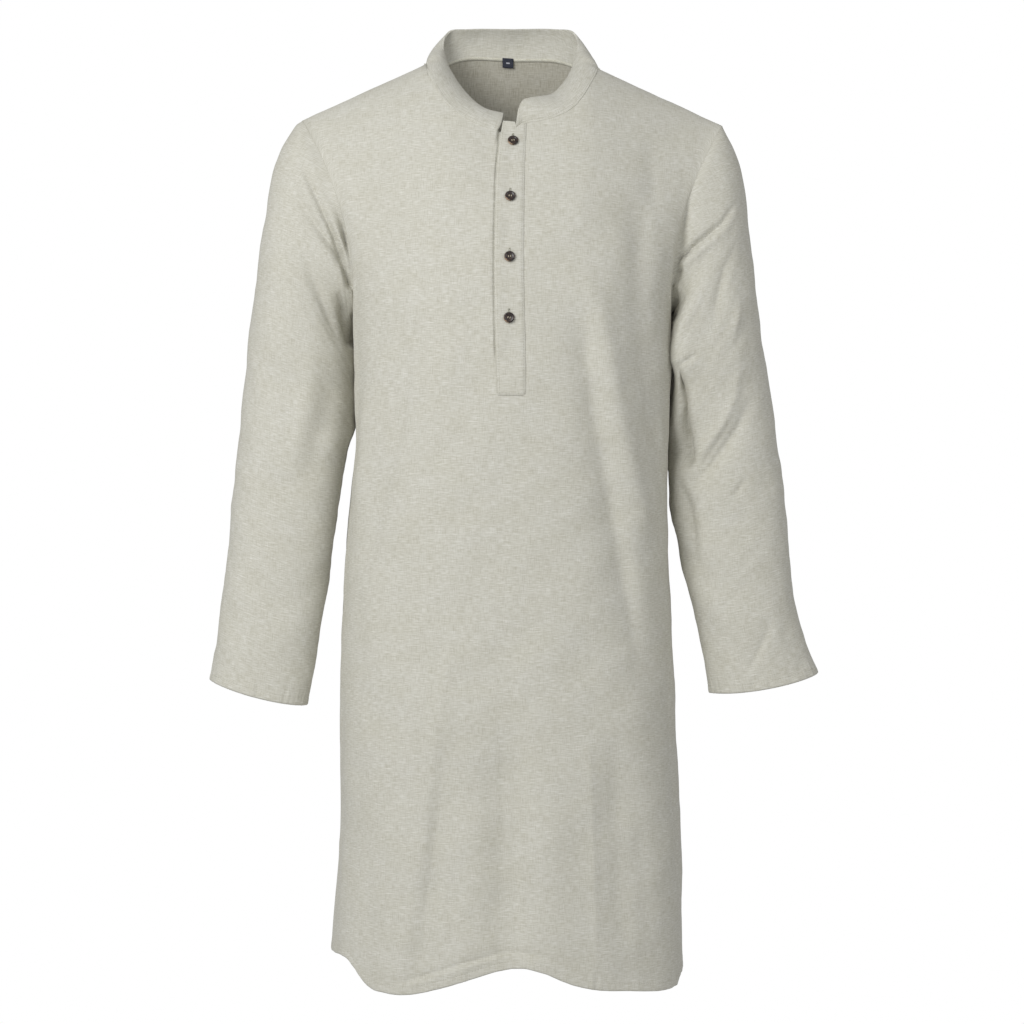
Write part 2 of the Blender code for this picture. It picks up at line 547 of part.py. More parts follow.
def drawn_back(edge, beside, normals, thickness=CLOTH, seam=SEAM):
    """An edge moved off its seam, far enough that its wall clears a neighbour that has these normals."""
    step = beside - edge
    step /= np.linalg.norm(step, axis=-1, keepdims=True)
    bend = np.maximum(0, -(step * normals).sum(axis=-1, keepdims=True))
    return edge + step * (seam + thickness * bend)


# The front keeps its edges, and the back, the sleeves and the collar draw back from them.
front = panel_grid(front=True)
back = panel_grid(front=False)
front_normals, back_normals = grid_normals(front), grid_normals(back)
back_edges = back.copy()
back_edges[:, 0] = drawn_back(back[:, 0], back[:, 1], front_normals[:, -1])
back_edges[:, -1] = drawn_back(back[:, -1], back[:, -2], front_normals[:, 0])
for outer in range(SHOULDER_COLUMNS + 1):
    for at_back, at_front in ((outer, -1 - outer), (-1 - outer, outer)):
        back_edges[-1, at_back] = drawn_back(
            back_edges[-1, at_back], back_edges[-2, at_back], front_normals[-1, at_front], FACET_ROOM * CLOTH
        )

slot_columns = (front.shape[1] // 2 - 1, front.shape[1] // 2)
slot = {(r, c) for r in range(HEM_ROWS - SLOT_ROWS, HEM_ROWS + CHEST_ROWS) for c in slot_columns}
cloth_object("front", front, CLOTH, LINEN, left_out=slot)
cloth_object("back", back_edges, CLOTH, LINEN)

for name, side, rings, folds in (
    ("sleeve_right", -1, SLEEVE_RIGHT, SLEEVE_RIGHT_FOLDS),
    ("sleeve_left", 1, SLEEVE_LEFT, SLEEVE_LEFT_FOLDS),
):
    sleeve = sleeve_grid(side, rings, folds)
    at_front, at_back = (-1, 0) if side > 0 else (0, -1)
    armhole = np.concatenate([
        front_normals[HEM_ROWS:, at_front],
        back_normals[HEM_ROWS + 1:-1, at_back][::-1],
    ])
    sleeve[0] = drawn_back(sleeve[0], sleeve[1], armhole)
    cloth_object(name, sleeve[:, ::-side], CLOTH, LINEN, closed=True)

# The band stands on the neckline, from the wearer's left end of it round the back to the right end.
neck_columns = slice(SHOULDER_COLUMNS, -SHOULDER_COLUMNS)
swings = np.linspace(COLLAR_TOP[-1].swing, COLLAR_TOP[0].swing, COLLAR_COLUMNS + 1)
base_x = NECK_HALF * np.sin(np.radians(swings))
base, base_normals = (
    np.stack([
        np.where(
            np.abs(swings) > 90,
            np.interp(base_x, front[-1, neck_columns, 0], at_front[-1, neck_columns, axis]),
            np.interp(base_x, back[-1, neck_columns, 0][::-1], at_back[-1, neck_columns, axis][::-1]),
        )
        for axis in range(3)
    ], axis=-1)
    for at_front, at_back in ((front, back), (front_normals, back_normals))
)
top_x, top_y, top_z, bulge = (
    spline(swings, [point.swing for point in COLLAR_TOP], [getattr(point, column) for point in COLLAR_TOP])
    for column in ("x", "y", "z", "bulge")
)
top = np.stack([top_x, top_y, top_z], axis=-1)
rise = np.linspace(0, 1, COLLAR_ROWS + 1)[:, None, None]
collar = base + (top - base) * rise
collar += grid_normals(collar) * (bulge[:, None] * 4 * rise * (1 - rise))
collar[0] = drawn_back(base, collar[1], base_normals, FACET_ROOM * COLLAR_CLOTH, COLLAR_SEAM)
cloth_object("collar", collar, COLLAR_CLOTH, LINEN)


def on_panel(panel, x, z):
    """The point and normal of a panel's facets at an x and a height near its middle, or just above it."""
    middle = range(SHOULDER_COLUMNS, panel.shape[1] - SHOULDER_COLUMNS)
    order = sorted(middle, key=lambda c: panel[-1, c, 0])
    line = np.array([
        [np.interp(x, row[order, 0], row[order, axis]) for axis in range(3)]
        for row in panel
    ])
    r = min(int(np.searchsorted(line[:, 2], z, side="right")) - 1, len(line) - 2)
    share = (z - line[r, 2]) / (line[r + 1, 2] - line[r, 2])
    point = line[r] + (line[r + 1] - line[r]) * share
    normal = np.cross((1.0, 0.0, 0.0), line[r + 1] - line[r])
    normal *= -np.sign(normal[1]) if panel is front else np.sign(normal[1])
    return point, normal / np.linalg.norm(normal)


def laid_patch(panel, xs, zs, lift):
    """A grid of points on a panel, moved off it by lift; xs and zs are grids of the places."""
    spots = [[on_panel(panel, x, z) for x, z in zip(*row)] for row in zip(xs, zs)]
    return np.array([[point + normal * lift for point, normal in row] for row in spots])


# The placket: a strip over the slit and one under it, both sewn down at the wearer's left and below the slit.
strip_rows = front[HEM_ROWS - PLACKET_ROWS:, front.shape[1] // 2, 2]
strip_z = np.concatenate([strip_rows[:-1], [PLACKET_TOP_Z]])
right_x, left_x = (
    spline(-strip_z, [-edge.z for edge in PLACKET_EDGES], [getattr(edge, name) for edge in PLACKET_EDGES])
    for name in ("right_x", "left_x")
)
strip_x = right_x[:, None] + (left_x - right_x)[:, None] * np.linspace(0, 1, STRIP_COLUMNS + 1)
strip_zs = np.repeat(strip_z[:, None], STRIP_COLUMNS + 1, axis=1)
strip_zs[-1] -= PLACKET_SLOPE * (strip_x[-1] - strip_x[-1, 0])
neck_z = np.interp(strip_x[-1], front[-1, neck_columns, 0], front[-1, neck_columns, 2])
strip_zs[-1] = np.where(strip_x[-1] > BAND_END_X, neck_z - STRIP_SEAM, strip_zs[-1])
strip = laid_patch(front, strip_x, strip_zs, LAID + STRIP_CLOTH)
cloth_object("placket_top", strip, STRIP_CLOTH, LINEN)
under_zs = np.minimum(strip_zs, neck_z.min() - STRIP_SEAM)
under = laid_patch(front, strip_x + UNDER_SHIFT_X, under_zs, -CLOTH - LAID)
cloth_object("placket_under", under, STRIP_CLOTH, LINEN)

# The label hangs inside the back, from the seam of the band.
label_x = LABEL_X + LABEL_WIDE * np.linspace(0.5, -0.5, 3)
label_z = LABEL_TOP_Z - LABEL_DEEP * np.linspace(1, 0, 3)
label = laid_patch(back, *np.meshgrid(label_x, label_z), -CLOTH - LAID)
cloth_object("neck_label", label, LABEL_CLOTH, LABEL_NAVY)


def button_mesh():
    """A turned disc with a rolled rim and a sunk middle, its back at z = 0."""
    rim, thick, dish = BUTTON_RADIUS, BUTTON_THICK, BUTTON_DISH
    profile = (
        (0.0, thick - dish),
        (rim - 2 * BUTTON_RIM, thick - dish),
        (rim - BUTTON_RIM, thick),
        (rim - 0.3 * BUTTON_RIM, 0.8 * thick),
        (rim, 0.45 * thick),
        (rim - BUTTON_RIM, 0.0),
        (0.0, 0.0),
    )
    mesh = bpy.data.meshes.new("button")
    mesh.from_pydata([(x, 0, z) for x, z in profile], [(i, i + 1) for i in range(len(profile) - 1)], [])
    return mesh


def holes_mesh():
    mesh = bpy.data.meshes.new("button_holes")
    holes = bmesh.new()
    for quarter in range(4):
        angle = math.radians(45 + 90 * quarter)
        x, y = HOLE_SPREAD * math.cos(angle), HOLE_SPREAD * math.sin(angle)
        place = Matrix.Translation((x, y, BUTTON_THICK / 2))
        bmesh.ops.create_cone(
            holes, cap_ends=True, segments=8, radius1=HOLE_RADIUS, radius2=HOLE_RADIUS,
            depth=2 * BUTTON_THICK, matrix=place,
        )
    holes.to_mesh(mesh)
    holes.free()
    return mesh


disc, drill = button_mesh(), holes_mesh()
for place in BUTTONS:
    spot, normal = on_panel(front, place.x, place.z)
    seat = spot + normal * (2 * LAID + STRIP_CLOTH)
    button = bpy.data.objects.new(place.name, disc.copy())
    cutter = bpy.data.objects.new(place.name + "_holes", drill)
    kurta.objects.link(button)
    cutters.objects.link(cutter)
    for piece in (button, cutter):
        piece.location = seat
        piece.rotation_euler = Vector(normal).to_track_quat("Z", "Y").to_euler()
    cutter.hide_render = True
    cutter.display_type = "WIRE"
    button.data.materials.append(finish(place.name, HORN, HORN_ROUGHNESS))
    turning = button.modifiers.new("turned", "SCREW")
    turning.steps = turning.render_steps = BUTTON_SIDES
    turning.use_merge_vertices = True
    turning.merge_threshold = 0.00001
    drilled = button.modifiers.new("drilled", "BOOLEAN")
    drilled.operation = "DIFFERENCE"
    drilled.object = cutter
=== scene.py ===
import math
from collections import namedtuple

import bmesh
import bpy
import numpy as np
from mathutils import Matrix, Vector


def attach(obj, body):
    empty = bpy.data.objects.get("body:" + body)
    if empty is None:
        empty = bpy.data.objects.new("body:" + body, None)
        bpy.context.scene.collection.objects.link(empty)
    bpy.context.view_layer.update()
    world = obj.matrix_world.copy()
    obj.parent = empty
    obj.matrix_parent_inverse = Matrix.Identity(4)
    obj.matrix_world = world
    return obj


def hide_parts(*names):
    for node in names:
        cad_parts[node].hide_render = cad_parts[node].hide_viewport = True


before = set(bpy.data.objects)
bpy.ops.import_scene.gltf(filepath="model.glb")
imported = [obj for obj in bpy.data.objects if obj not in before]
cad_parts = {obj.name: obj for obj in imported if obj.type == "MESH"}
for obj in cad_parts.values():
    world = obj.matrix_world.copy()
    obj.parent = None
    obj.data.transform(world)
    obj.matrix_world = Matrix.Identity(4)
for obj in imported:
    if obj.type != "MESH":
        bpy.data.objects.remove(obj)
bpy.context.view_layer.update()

# ---- The front ----
# One panel of plain slubbed linen from the shoulder seams to the curved hem, with a slit down from the neck.
# It hangs from the shoulders, and is sewn to the back along them and down the sides.
# "Turn" is the angle round the body: 0 front, 90 the wearer's left, 180 back, -90 or 270 the wearer's right.
CLOTH = 0.0009
ARMPIT_Z = -0.270
BODY_SQUARENESS = 2.45
NECK_HALF = 0.0945
SHOULDER_TIP_X = 0.230
SHOULDER_SLOPE = 0.460
SHOULDER_TILT = 0.0027    # the wearer's left shoulder hangs this much lower, and the right one higher
NECK_DROP = 0.0805
NECK_LIFT = 0.0085        # in front, the left half of the neckline is higher by this near the middle
NECK_LIFT_FADES = (0.15, 0.75)
NECK_CURVE = 1.75
NECK_CURVE_LESS = 0.30    # at its ends the neckline turns inwards sooner, by this much less of its power
NECK_LEAST_TURN = 0.12    # and no two columns that end at it are closer than this, in degrees
NECK_BACK = 0.0630
NECK_BACK_CURVE = 2.42
NECK_SNAP = 0.0001        # a column this near to the end of the neckline reaches the shoulder
PLACKET_ZONE = 0.020      # this near to the middle, the columns don't spread on their way up
FRONT_RIDGE_Z = -0.010
BACK_RIDGE_Z = 0.075
FRONT_CREST = 1.65        # how square the chest and the back bend over to the shoulders
BACK_CREST = 1.9
ARMHOLE_REACH = 46        # from this turn on, the armhole draws the columns to it
ARMHOLE_DEPTH = 0.047
ARMHOLE_BOW = 0.0165
ARMHOLE_TOP_LESS = 0.10   # its upper end reaches less far to the front and the back, by this share

BodySection = namedtuple("BodySection", "z right_side left_side front back")
BODY_SECTIONS = [BodySection(*row) for row in (
    (-0.27, 0.1715, 0.1735, 0.128, 0.12),
    (-0.34, 0.1705, 0.171, 0.129, 0.119),
    (-0.4, 0.17, 0.17, 0.127, 0.116),
    (-0.46, 0.175, 0.17, 0.124, 0.114),
    (-0.54, 0.1815, 0.1715, 0.121, 0.114),
    (-0.64, 0.187, 0.1755, 0.12, 0.118),
    (-0.74, 0.188, 0.18, 0.121, 0.122),
    (-0.84, 0.188, 0.1845, 0.1215, 0.126),
    (-0.94, 0.196, 0.186, 0.1215, 0.13),
    (-1.005, 0.2, 0.1865, 0.12, 0.132),
)]
HemPoint = namedtuple("HemPoint", "turn z")
HEM_LINE = [HemPoint(*row) for row in (
    (-90, -0.9645), (-70, -0.9645), (-63, -0.9645), (-58, -0.9675),
    (-54, -0.976), (-50, -0.9865), (-46, -0.995), (-40, -0.9985),
    (-31, -0.999), (-22, -0.992), (-12, -0.9812), (-4, -0.973),
    (3, -0.97), (11, -0.9755), (18, -0.986), (26, -0.993),
    (40, -0.997), (54, -1.0000), (64, -0.999), (68, -0.9975),
    (71, -0.9925), (74, -0.9895), (82, -0.9875), (96, -0.973),
    (112, -0.9645), (132, -0.979),
    (152, -0.999), (180, -1.002), (212, -1.0000), (236, -0.993),
    (252, -0.973), (270, -0.9645),
)]
SEAM_TWIST_LEFT = 22.0
SEAM_TWIST_RIGHT = 2.0
TWIST_FROM_Z = -0.420
TWIST_FULL_Z = -0.980

# A fold is a soft trough (depth below 0) or ridge (above 0) between two places of the cloth. A lean above 0
# makes the side of rising turn the steep one. BODY_FOLDS has the large ones, and BODY_CREASES the small ones.
Fold = namedtuple("Fold", "turn_a z_a turn_b z_b width depth lean", defaults=(0.0,))
BODY_GIRTH_RADIUS = 0.162
BODY_FOLDS = [Fold(*row) for row in (
    (-84, -0.4, -86, -0.62, 0.01, -0.0065),  # the gathered side seam under the right sleeve
    (88, -0.36, 86, -0.52, 0.012, -0.005),
    (25, -0.28, 31, -0.39, 0.017, -0.005, 0.3),  # the long fall from the left chest to the hip
    (31, -0.38, 44, -0.6, 0.018, -0.0065, 0.3),
    (29, -0.26, 39, -0.39, 0.013, 0.0045),
    (39, -0.39, 54, -0.52, 0.014, 0.0045),
    (48, -0.28, 60, -0.44, 0.02, -0.004),
    (44, -0.16, 49, -0.28, 0.017, -0.004),
    (-38, -0.3, -56, -0.54, 0.026, -0.0045),  # its softer match on the right
    (-60, -0.36, -66, -0.47, 0.016, 0.004),
    (-24, -0.75, -28, -0.94, 0.026, -0.005),  # falls above the hem
    (0, -0.75, 2, -0.95, 0.024, -0.0045),
    (30, -0.79, 29, -0.93, 0.024, -0.0035),
    (-12, -0.8, -13, -0.96, 0.022, 0.003),
    (116, -0.15, 108, -0.26, 0.016, -0.005),  # the back: armholes, blades and a soft middle fall
    (244, -0.15, 252, -0.26, 0.016, -0.005),
    (140, -0.22, 128, -0.46, 0.026, -0.005),
    (222, -0.24, 236, -0.5, 0.026, -0.005),
    (172, -0.42, 166, -0.74, 0.028, -0.0045),
    (196, -0.6, 200, -0.95, 0.028, -0.005),
    (148, -0.66, 146, -0.95, 0.026, -0.0045),
    (232, -0.66, 234, -0.92, 0.024, -0.004),
)]
BODY_CREASES = [Fold(*row) for row in (
    (-48, -0.09, -50, -0.13, 0.005, -0.0008),  # small pulls beside the armholes
    (46, -0.1, 52, -0.16, 0.01, -0.0016),
    (-75, -0.24, -77, -0.395, 0.01, 0.004),  # the sides stand out over the sleeves
    (75, -0.24, 77, -0.425, 0.01, 0.0034),
    (-84, -0.41, -86, -0.6, 0.006, -0.005),  # and the right one falls into a groove below
    (-76, -0.43, -78, -0.6, 0.008, 0.0018),
    (-96, -0.43, -97, -0.6, 0.008, 0.0026),
    (-33, -0.986, -16, -0.9655, 0.003, -0.002),  # a soft crease where the hem was pressed once
    (-16, -0.9655, -2, -0.953, 0.003, -0.002),
    (-2, -0.953, 10, -0.955, 0.003, -0.0014),
    (-31, -0.9905, -15, -0.97, 0.0035, 0.0012),
    (-15, -0.97, -2, -0.957, 0.0035, 0.0012),
    (-31.5, -0.97, -30.5, -0.984, 0.0025, -0.0012),
    (25.5, -0.3, 31, -0.4, 0.008, -0.0022, 0.3),  # the crisp side of the long fall
    (31, -0.4, 38.5, -0.5, 0.008, -0.0026, 0.3),
    (38.5, -0.5, 46, -0.64, 0.009, -0.002, 0.3),
    (-46, -0.262, -56, -0.336, 0.005, -0.0012),  # thin ones that run down to the right side
    (-37.5, -0.318, -43, -0.413, 0.005, -0.0014),
    (-43, -0.413, -54, -0.536, 0.007, -0.0016),
    (-11, -0.262, -15.5, -0.338, 0.011, -0.0014),
    (11.5, -0.29, 12.5, -0.385, 0.007, -0.001),
    (-19.5, -0.62, -27, -0.784, 0.011, 0.0026),  # a crest that falls to the hem, and the hollow beside it
    (-27, -0.784, -33.5, -0.985, 0.014, 0.0052),
    (-22.5, -0.76, -30.4, -0.988, 0.011, -0.0034, -0.3),
    (-0.5, -0.735, 1.5, -0.965, 0.032, -0.0125, 0.75),  # a broad slope beside it, with a steep end
    (9, -0.75, 11, -0.96, 0.017, 0.004),
    (26, -0.74, 27.5, -0.96, 0.009, 0.0024),  # and a third
    (35, -0.74, 37, -0.97, 0.014, -0.004, -0.3),
    (60, -0.34, 66, -0.5, 0.01, -0.0015),
    (12.5, -0.498, 13.5, -0.572, 0.006, -0.0009),  # two short vertical dents
    (-22, -0.622, -24, -0.655, 0.006, -0.001),
    (-17, -0.86, -20, -0.96, 0.009, -0.0014),
    (44, -0.8, 47, -0.98, 0.014, -0.0018),
    (-46, -0.82, -49, -0.97, 0.014, -0.0016),
    (66, -0.62, 70, -0.9, 0.014, -0.0018),
    (-72, -0.66, -76, -0.92, 0.014, -0.0018),
    (128, -0.18, 116, -0.27, 0.01, -0.0018),  # the back
    (232, -0.18, 244, -0.27, 0.01, -0.0018),
    (160, -0.3, 152, -0.5, 0.014, -0.0018),
    (206, -0.34, 214, -0.54, 0.012, -0.0016),
    (184, -0.55, 188, -0.72, 0.012, 0.0018),
    (128, -0.52, 124, -0.8, 0.014, -0.0018),
    (216, -0.78, 214, -0.96, 0.012, -0.0016),
    (250, -0.5, 256, -0.8, 0.014, -0.002),
    (110, -0.6, 106, -0.86, 0.012, -0.0018),
)]
HEM_FACING = 0.0100       # the turned-up edge ends this far above the hem, and shows as a faint step
HEM_STITCH = 0.0085
FINE_ZONE = 2.4           # rows stand close together up to this many times the facing
HEM_PUCKER = (0.0004, 0.008, 0.020)      # height, shortest and longest wave of each kind of unevenness
WIDE_WAVES = (0.0008, 0.05, 0.15)
FINE_WAVES = (0.0002, 0.016, 0.040)
CRUMPLED_WAVES = (0.0005, 0.010, 0.026)
FINE_SEED, PUCKER_SEED, CRUMPLED_SEED = 20, 40, 60   # added to a piece's own seed
STITCH_FURROW = 0.0004
STITCH_FURROW_WIDE = 0.0011
FACING_STEP = 0.0004
EDGE_ROLL = 0.0008
EDGE_ROLL_WIDE = 0.0014
SEAM_ROLL = 0.0008        # every edge rolls in by this at its seam, and by less at the armholes
SEAM_ROLL_LESS = 0.0006
SEAM_ROLL_WIDE = 0.0022
ALLOWANCE_LIFT = 0.00015  # the seam allowances lift a narrow band along the armholes
ALLOWANCE_WIDE = (0.0050, 0.0090)
# The cloth is drawn in along the armhole seams, just above the armpit: how deep, and between which heights.
FURROW_RIGHT = (0.0030, (-0.262, -0.222, -0.205, -0.165))
FURROW_LEFT = (0.0020, (-0.262, -0.222, -0.215, -0.175))
FURROW_WIDE = 0.0065
DRAWN_IN = 0.0018
GAPE = 0.0040
GAPE_HEIGHTS = (-0.096, -0.086, -0.076, -0.072)
EDGE_TURNS = (90.0, 89.5, 88.9, 88.0)   # columns crowd at the seams, where the cloth rolls into them
SHOULDER_COLUMNS = 36
NECK_COLUMNS = 36
SLOT_COLUMNS = 9           # fine columns beside the slit, each this far from the next
SLOT_COLUMN_PITCH = 0.0010
HEM_ROWS = 160
HEM_FINE_ROWS = 20
CHEST_ROWS = 96
SLOT_RIGHT_X = -0.0122
SLOT_LEFT_X = 0.0110
SLOT_BOTTOM_Z = -0.3300
# The strips that close the slit lie between these edges, and the front is drawn in beside the right one.
PlacketEdge = namedtuple("PlacketEdge", "z right_x left_x")
PLACKET_EDGES = [PlacketEdge(*row) for row in (
    (-0.07, -0.0102, 0.0155),
    (-0.115, -0.0152, 0.0138),
    (-0.18, -0.0175, 0.0127),
    (-0.242, -0.018, 0.0126),
    (-0.311, -0.0167, 0.0142),
    (-0.366, -0.0148, 0.0147),
)]


def spline(at, knots, values):
    """Smooth curve through a table's column."""
    knots, values = np.asarray(knots, float), np.asarray(values, float)
    slopes = np.gradient(values, knots)
    i = np.clip(np.searchsorted(knots, at, side="right") - 1, 0, len(knots) - 2)
    span = knots[i + 1] - knots[i]
    t = np.clip((at - knots[i]) / span, 0, 1)
    return (
        (2 * t**3 - 3 * t**2 + 1) * values[i]
        + (t**3 - 2 * t**2 + t) * span * slopes[i]
        + (3 * t**2 - 2 * t**3) * values[i + 1]
        + (t**3 - t**2) * span * slopes[i + 1]
    )


def column(table, name, at):
    """A column of a table of heights, at some heights."""
    return spline(-np.asarray(at, float), [-row.z for row in table], [getattr(row, name) for row in table])


def ease(value, low, high):
    """0 below low, 1 above high, and smooth between."""
    t = np.clip((np.asarray(value, float) - low) / (high - low), 0, 1)
    return t * t * (3 - 2 * t)


def plateau(value, low, full, less, high):
    """Rises from 0 to 1 between low and full, and falls back between less and high."""
    return ease(value, low, full) * (1 - ease(value, less, high))


def hill(away, width):
    """1 where away is 0, and falling off on both sides."""
    return np.exp(-((away / width) ** 2))


def oval(degrees, power):
    """Sine and cosine parts of a rounded square whose squareness is its power."""
    sine, cosine = np.sin(np.radians(degrees)), np.cos(np.radians(degrees))
    reach = (np.abs(sine) ** power + np.abs(cosine) ** power) ** (-1 / power)
    return sine * reach, cosine * reach


def fold_depth(folds, around, height, girth_radius, power=2.0):
    """How far the folds move each point along its normal. A power below 2 gives a crisp crease."""
    depth = np.zeros(np.broadcast(around, height).shape)
    for fold in folds:
        start = np.array([math.radians(fold.turn_a) * girth_radius, fold.z_a])
        end = np.array([math.radians(fold.turn_b) * girth_radius, fold.z_b])
        along = end - start
        length = np.linalg.norm(along)
        across = np.array([along[1], -along[0]]) / length
        across *= np.sign(across[0]) or 1.0
        u = np.radians((around - fold.turn_a + 180) % 360 - 180) * girth_radius
        v = height - start[1]
        t = (u * along[0] + v * along[1]) / length**2
        away = u * across[0] + v * across[1]
        width = fold.width * np.where(away > 0, 1 - fold.lean, 1 + fold.lean)
        fade = plateau(t, -0.25, 0.3, 0.7, 1.25)
        depth = depth + fold.depth * fade * np.exp(-np.abs(away / width) ** power)
    return depth


def crumple(u, v, seed, height, shortest, longest, waves=36):
    """The soft unevenness of worn linen: seeded waves that cross at all angles."""
    draw = np.random.default_rng(seed)
    total = np.zeros(np.broadcast(u, v).shape)
    for _ in range(waves):
        angle, phase = draw.uniform(0, math.pi), draw.uniform(0, 2 * math.pi)
        pitch = draw.uniform(shortest, longest)
        total += np.cos(2 * math.pi / pitch * (u * math.cos(angle) + v * math.sin(angle)) + phase)
    return total * height / math.sqrt(waves)


def grid_normals(points, closed=False):
    """Unit normals of a grid of points, rows by columns."""
    rows = np.gradient(points, axis=0)
    if closed:
        columns = np.roll(points, -1, axis=1) - np.roll(points, 1, axis=1)
    else:
        columns = np.gradient(points, axis=1)
    normals = np.cross(columns, rows)
    return normals / np.maximum(np.linalg.norm(normals, axis=2, keepdims=True), 1e-12)


def lengths_along(points, axis):
    """How far each point of a grid is from the first one, along its rows or its columns."""
    steps = np.linalg.norm(np.diff(points, axis=axis), axis=2)
    start = np.zeros_like(np.take(steps, [0], axis=axis))
    return np.concatenate([start, np.cumsum(steps, axis=axis)], axis=axis)


def turned(turn, z):
    """The turn at which a column of cloth hangs at this height: the side seams swing back towards the hem."""
    share = ease(-np.asarray(z, float), -TWIST_FROM_Z, -TWIST_FULL_Z)
    near_left = np.maximum(0, 1 - np.abs(turn - 90) / 90) ** 2
    near_right = np.maximum(0, 1 - np.minimum(np.abs(turn + 90), np.abs(turn - 270)) / 90) ** 2
    return turn + share * (SEAM_TWIST_LEFT * near_left + SEAM_TWIST_RIGHT * near_right)


def body_ring(turn, z):
    """A point on the body's oval section."""
    right, left, fore, rear = (column(BODY_SECTIONS, name, z) for name in BodySection._fields[1:])
    sine, cosine = oval(turn, BODY_SQUARENESS)
    x = sine * np.where(sine > 0, left, right)
    y = -cosine * np.where(cosine > 0, fore, rear)
    return np.stack(np.broadcast_arrays(x, y, z), axis=-1)


def hem_height(turn):
    return spline(turn, [point.turn for point in HEM_LINE], [point.z for point in HEM_LINE])


def shoulder_point(turn, front):
    """Where a column of cloth would reach the shoulder line, or the ridge that the neck opening cuts off."""
    low = body_ring(turn, ARMPIT_Z)
    half = abs(body_ring(90.0 if 0 < turn < 180 else -90.0, ARMPIT_Z)[0])
    flare = 1 + (SHOULDER_TIP_X / half - 1) * float(ease(abs(low[0]), PLACKET_ZONE, half))
    x = low[0] * flare
    share = min(1.0, abs(x) / NECK_HALF)
    if abs(x) >= NECK_HALF:
        z = -SHOULDER_SLOPE * (abs(x) - NECK_HALF)
    elif front:
        slope = -SHOULDER_SLOPE * NECK_HALF
        z = FRONT_RIDGE_Z * (2 * share**3 - 3 * share**2 + 1) + slope * (share**3 - share**2)
    else:
        z = BACK_RIDGE_Z * (1 - share**3)
    return np.array([x, 0.0, z - SHOULDER_TILT * math.copysign(share, x)])


def armhole_point(share, side, front):
    """The armhole seam: share 0 is the armpit and 1 the shoulder tip, side is 1 for the wearer's left."""
    half = abs(body_ring(90.0 * side, ARMPIT_Z)[0])
    tip_z = -SHOULDER_SLOPE * (SHOULDER_TIP_X - NECK_HALF) - side * SHOULDER_TILT
    x = half + (SHOULDER_TIP_X - half) * share - ARMHOLE_BOW * 4 * share * (1 - share)
    y = ARMHOLE_DEPTH * np.sqrt(np.maximum(0, 1 - (2 * share - 1) ** 2)) * (-1 if front else 1)
    y = y * (1 - ARMHOLE_TOP_LESS * ease(share, 0.55, 0.95))
    return np.stack([side * x, y, ARMPIT_Z + (tip_z - ARMPIT_Z) * share], axis=-1)


def upper_point(turn, climb, front):
    """A point above the armpit, on a column of cloth; climb is 0 at the armpit and 1 at the shoulder."""
    low, top = body_ring(turn, ARMPIT_Z), shoulder_point(turn, front)
    up, out = oval(90 * np.asarray(climb, float), FRONT_CREST if front else BACK_CREST)
    point = top + (low - top) * out[..., None]
    point[..., 2] = low[2] + (top[2] - low[2]) * up
    from_middle = abs(turn) if front else abs(180 - turn)
    pull = max(0.0, (from_middle - ARMHOLE_REACH) / (90 - ARMHOLE_REACH)) ** 1.5
    if pull > 0:
        side = 1 if 0 < turn < 180 else -1
        edge_low, edge_top = body_ring(90.0 * side, ARMPIT_Z), np.array([side * SHOULDER_TIP_X, 0.0, 0.0])
        edge = edge_top[:2] + (edge_low[:2] - edge_top[:2]) * out[..., None]
        seam = armhole_point(up, side, front)[..., :2]
        # Low down, the cloth comes forward the more gently, the further it is from the seam.
        gently = 2 * (1 - pull) * (1 - ease(up, 0.05, 0.35))
        seam[..., 1] *= (np.abs(seam[..., 1]) / ARMHOLE_DEPTH) ** gently
        point[..., :2] += pull * (seam - edge)
    return point


def neck_climb(turn, front):
    """The climb at which a column meets the neckline."""
    top = shoulder_point(turn, front)
    if abs(top[0]) > NECK_HALF - NECK_SNAP:
        return 1.0
    climbs = np.linspace(0.3, 1.0, 1401)
    points = upper_point(turn, climbs, front)
    share = np.minimum(1, np.abs(points[:, 0]) / NECK_HALF)
    if front:
        lift = NECK_LIFT * (1 - ease(share, *NECK_LIFT_FADES)) * (turn > 0)
        power = NECK_CURVE - NECK_CURVE_LESS * ease(share, 0.70, 1.0)
        past = points[:, 2] + NECK_DROP * (1 - share**power) ** (1 / power) - lift
    else:
        past = NECK_BACK * (1 - share**NECK_BACK_CURVE) ** (1 / NECK_BACK_CURVE) - points[:, 1]
    k = max(1, int(np.argmax(past >= 0)))
    return float(np.interp(0.0, past[k - 1:k + 1], climbs[k - 1:k + 1]))


def neck_turn(side):
    """Turn of the column that ends at a neck point; side is 1 for the wearer's left."""
    turns = np.linspace(1, 60, 1181)
    reach = [abs(shoulder_point(side * turn, True)[0]) for turn in turns]
    return float(np.interp(NECK_HALF, reach, turns))


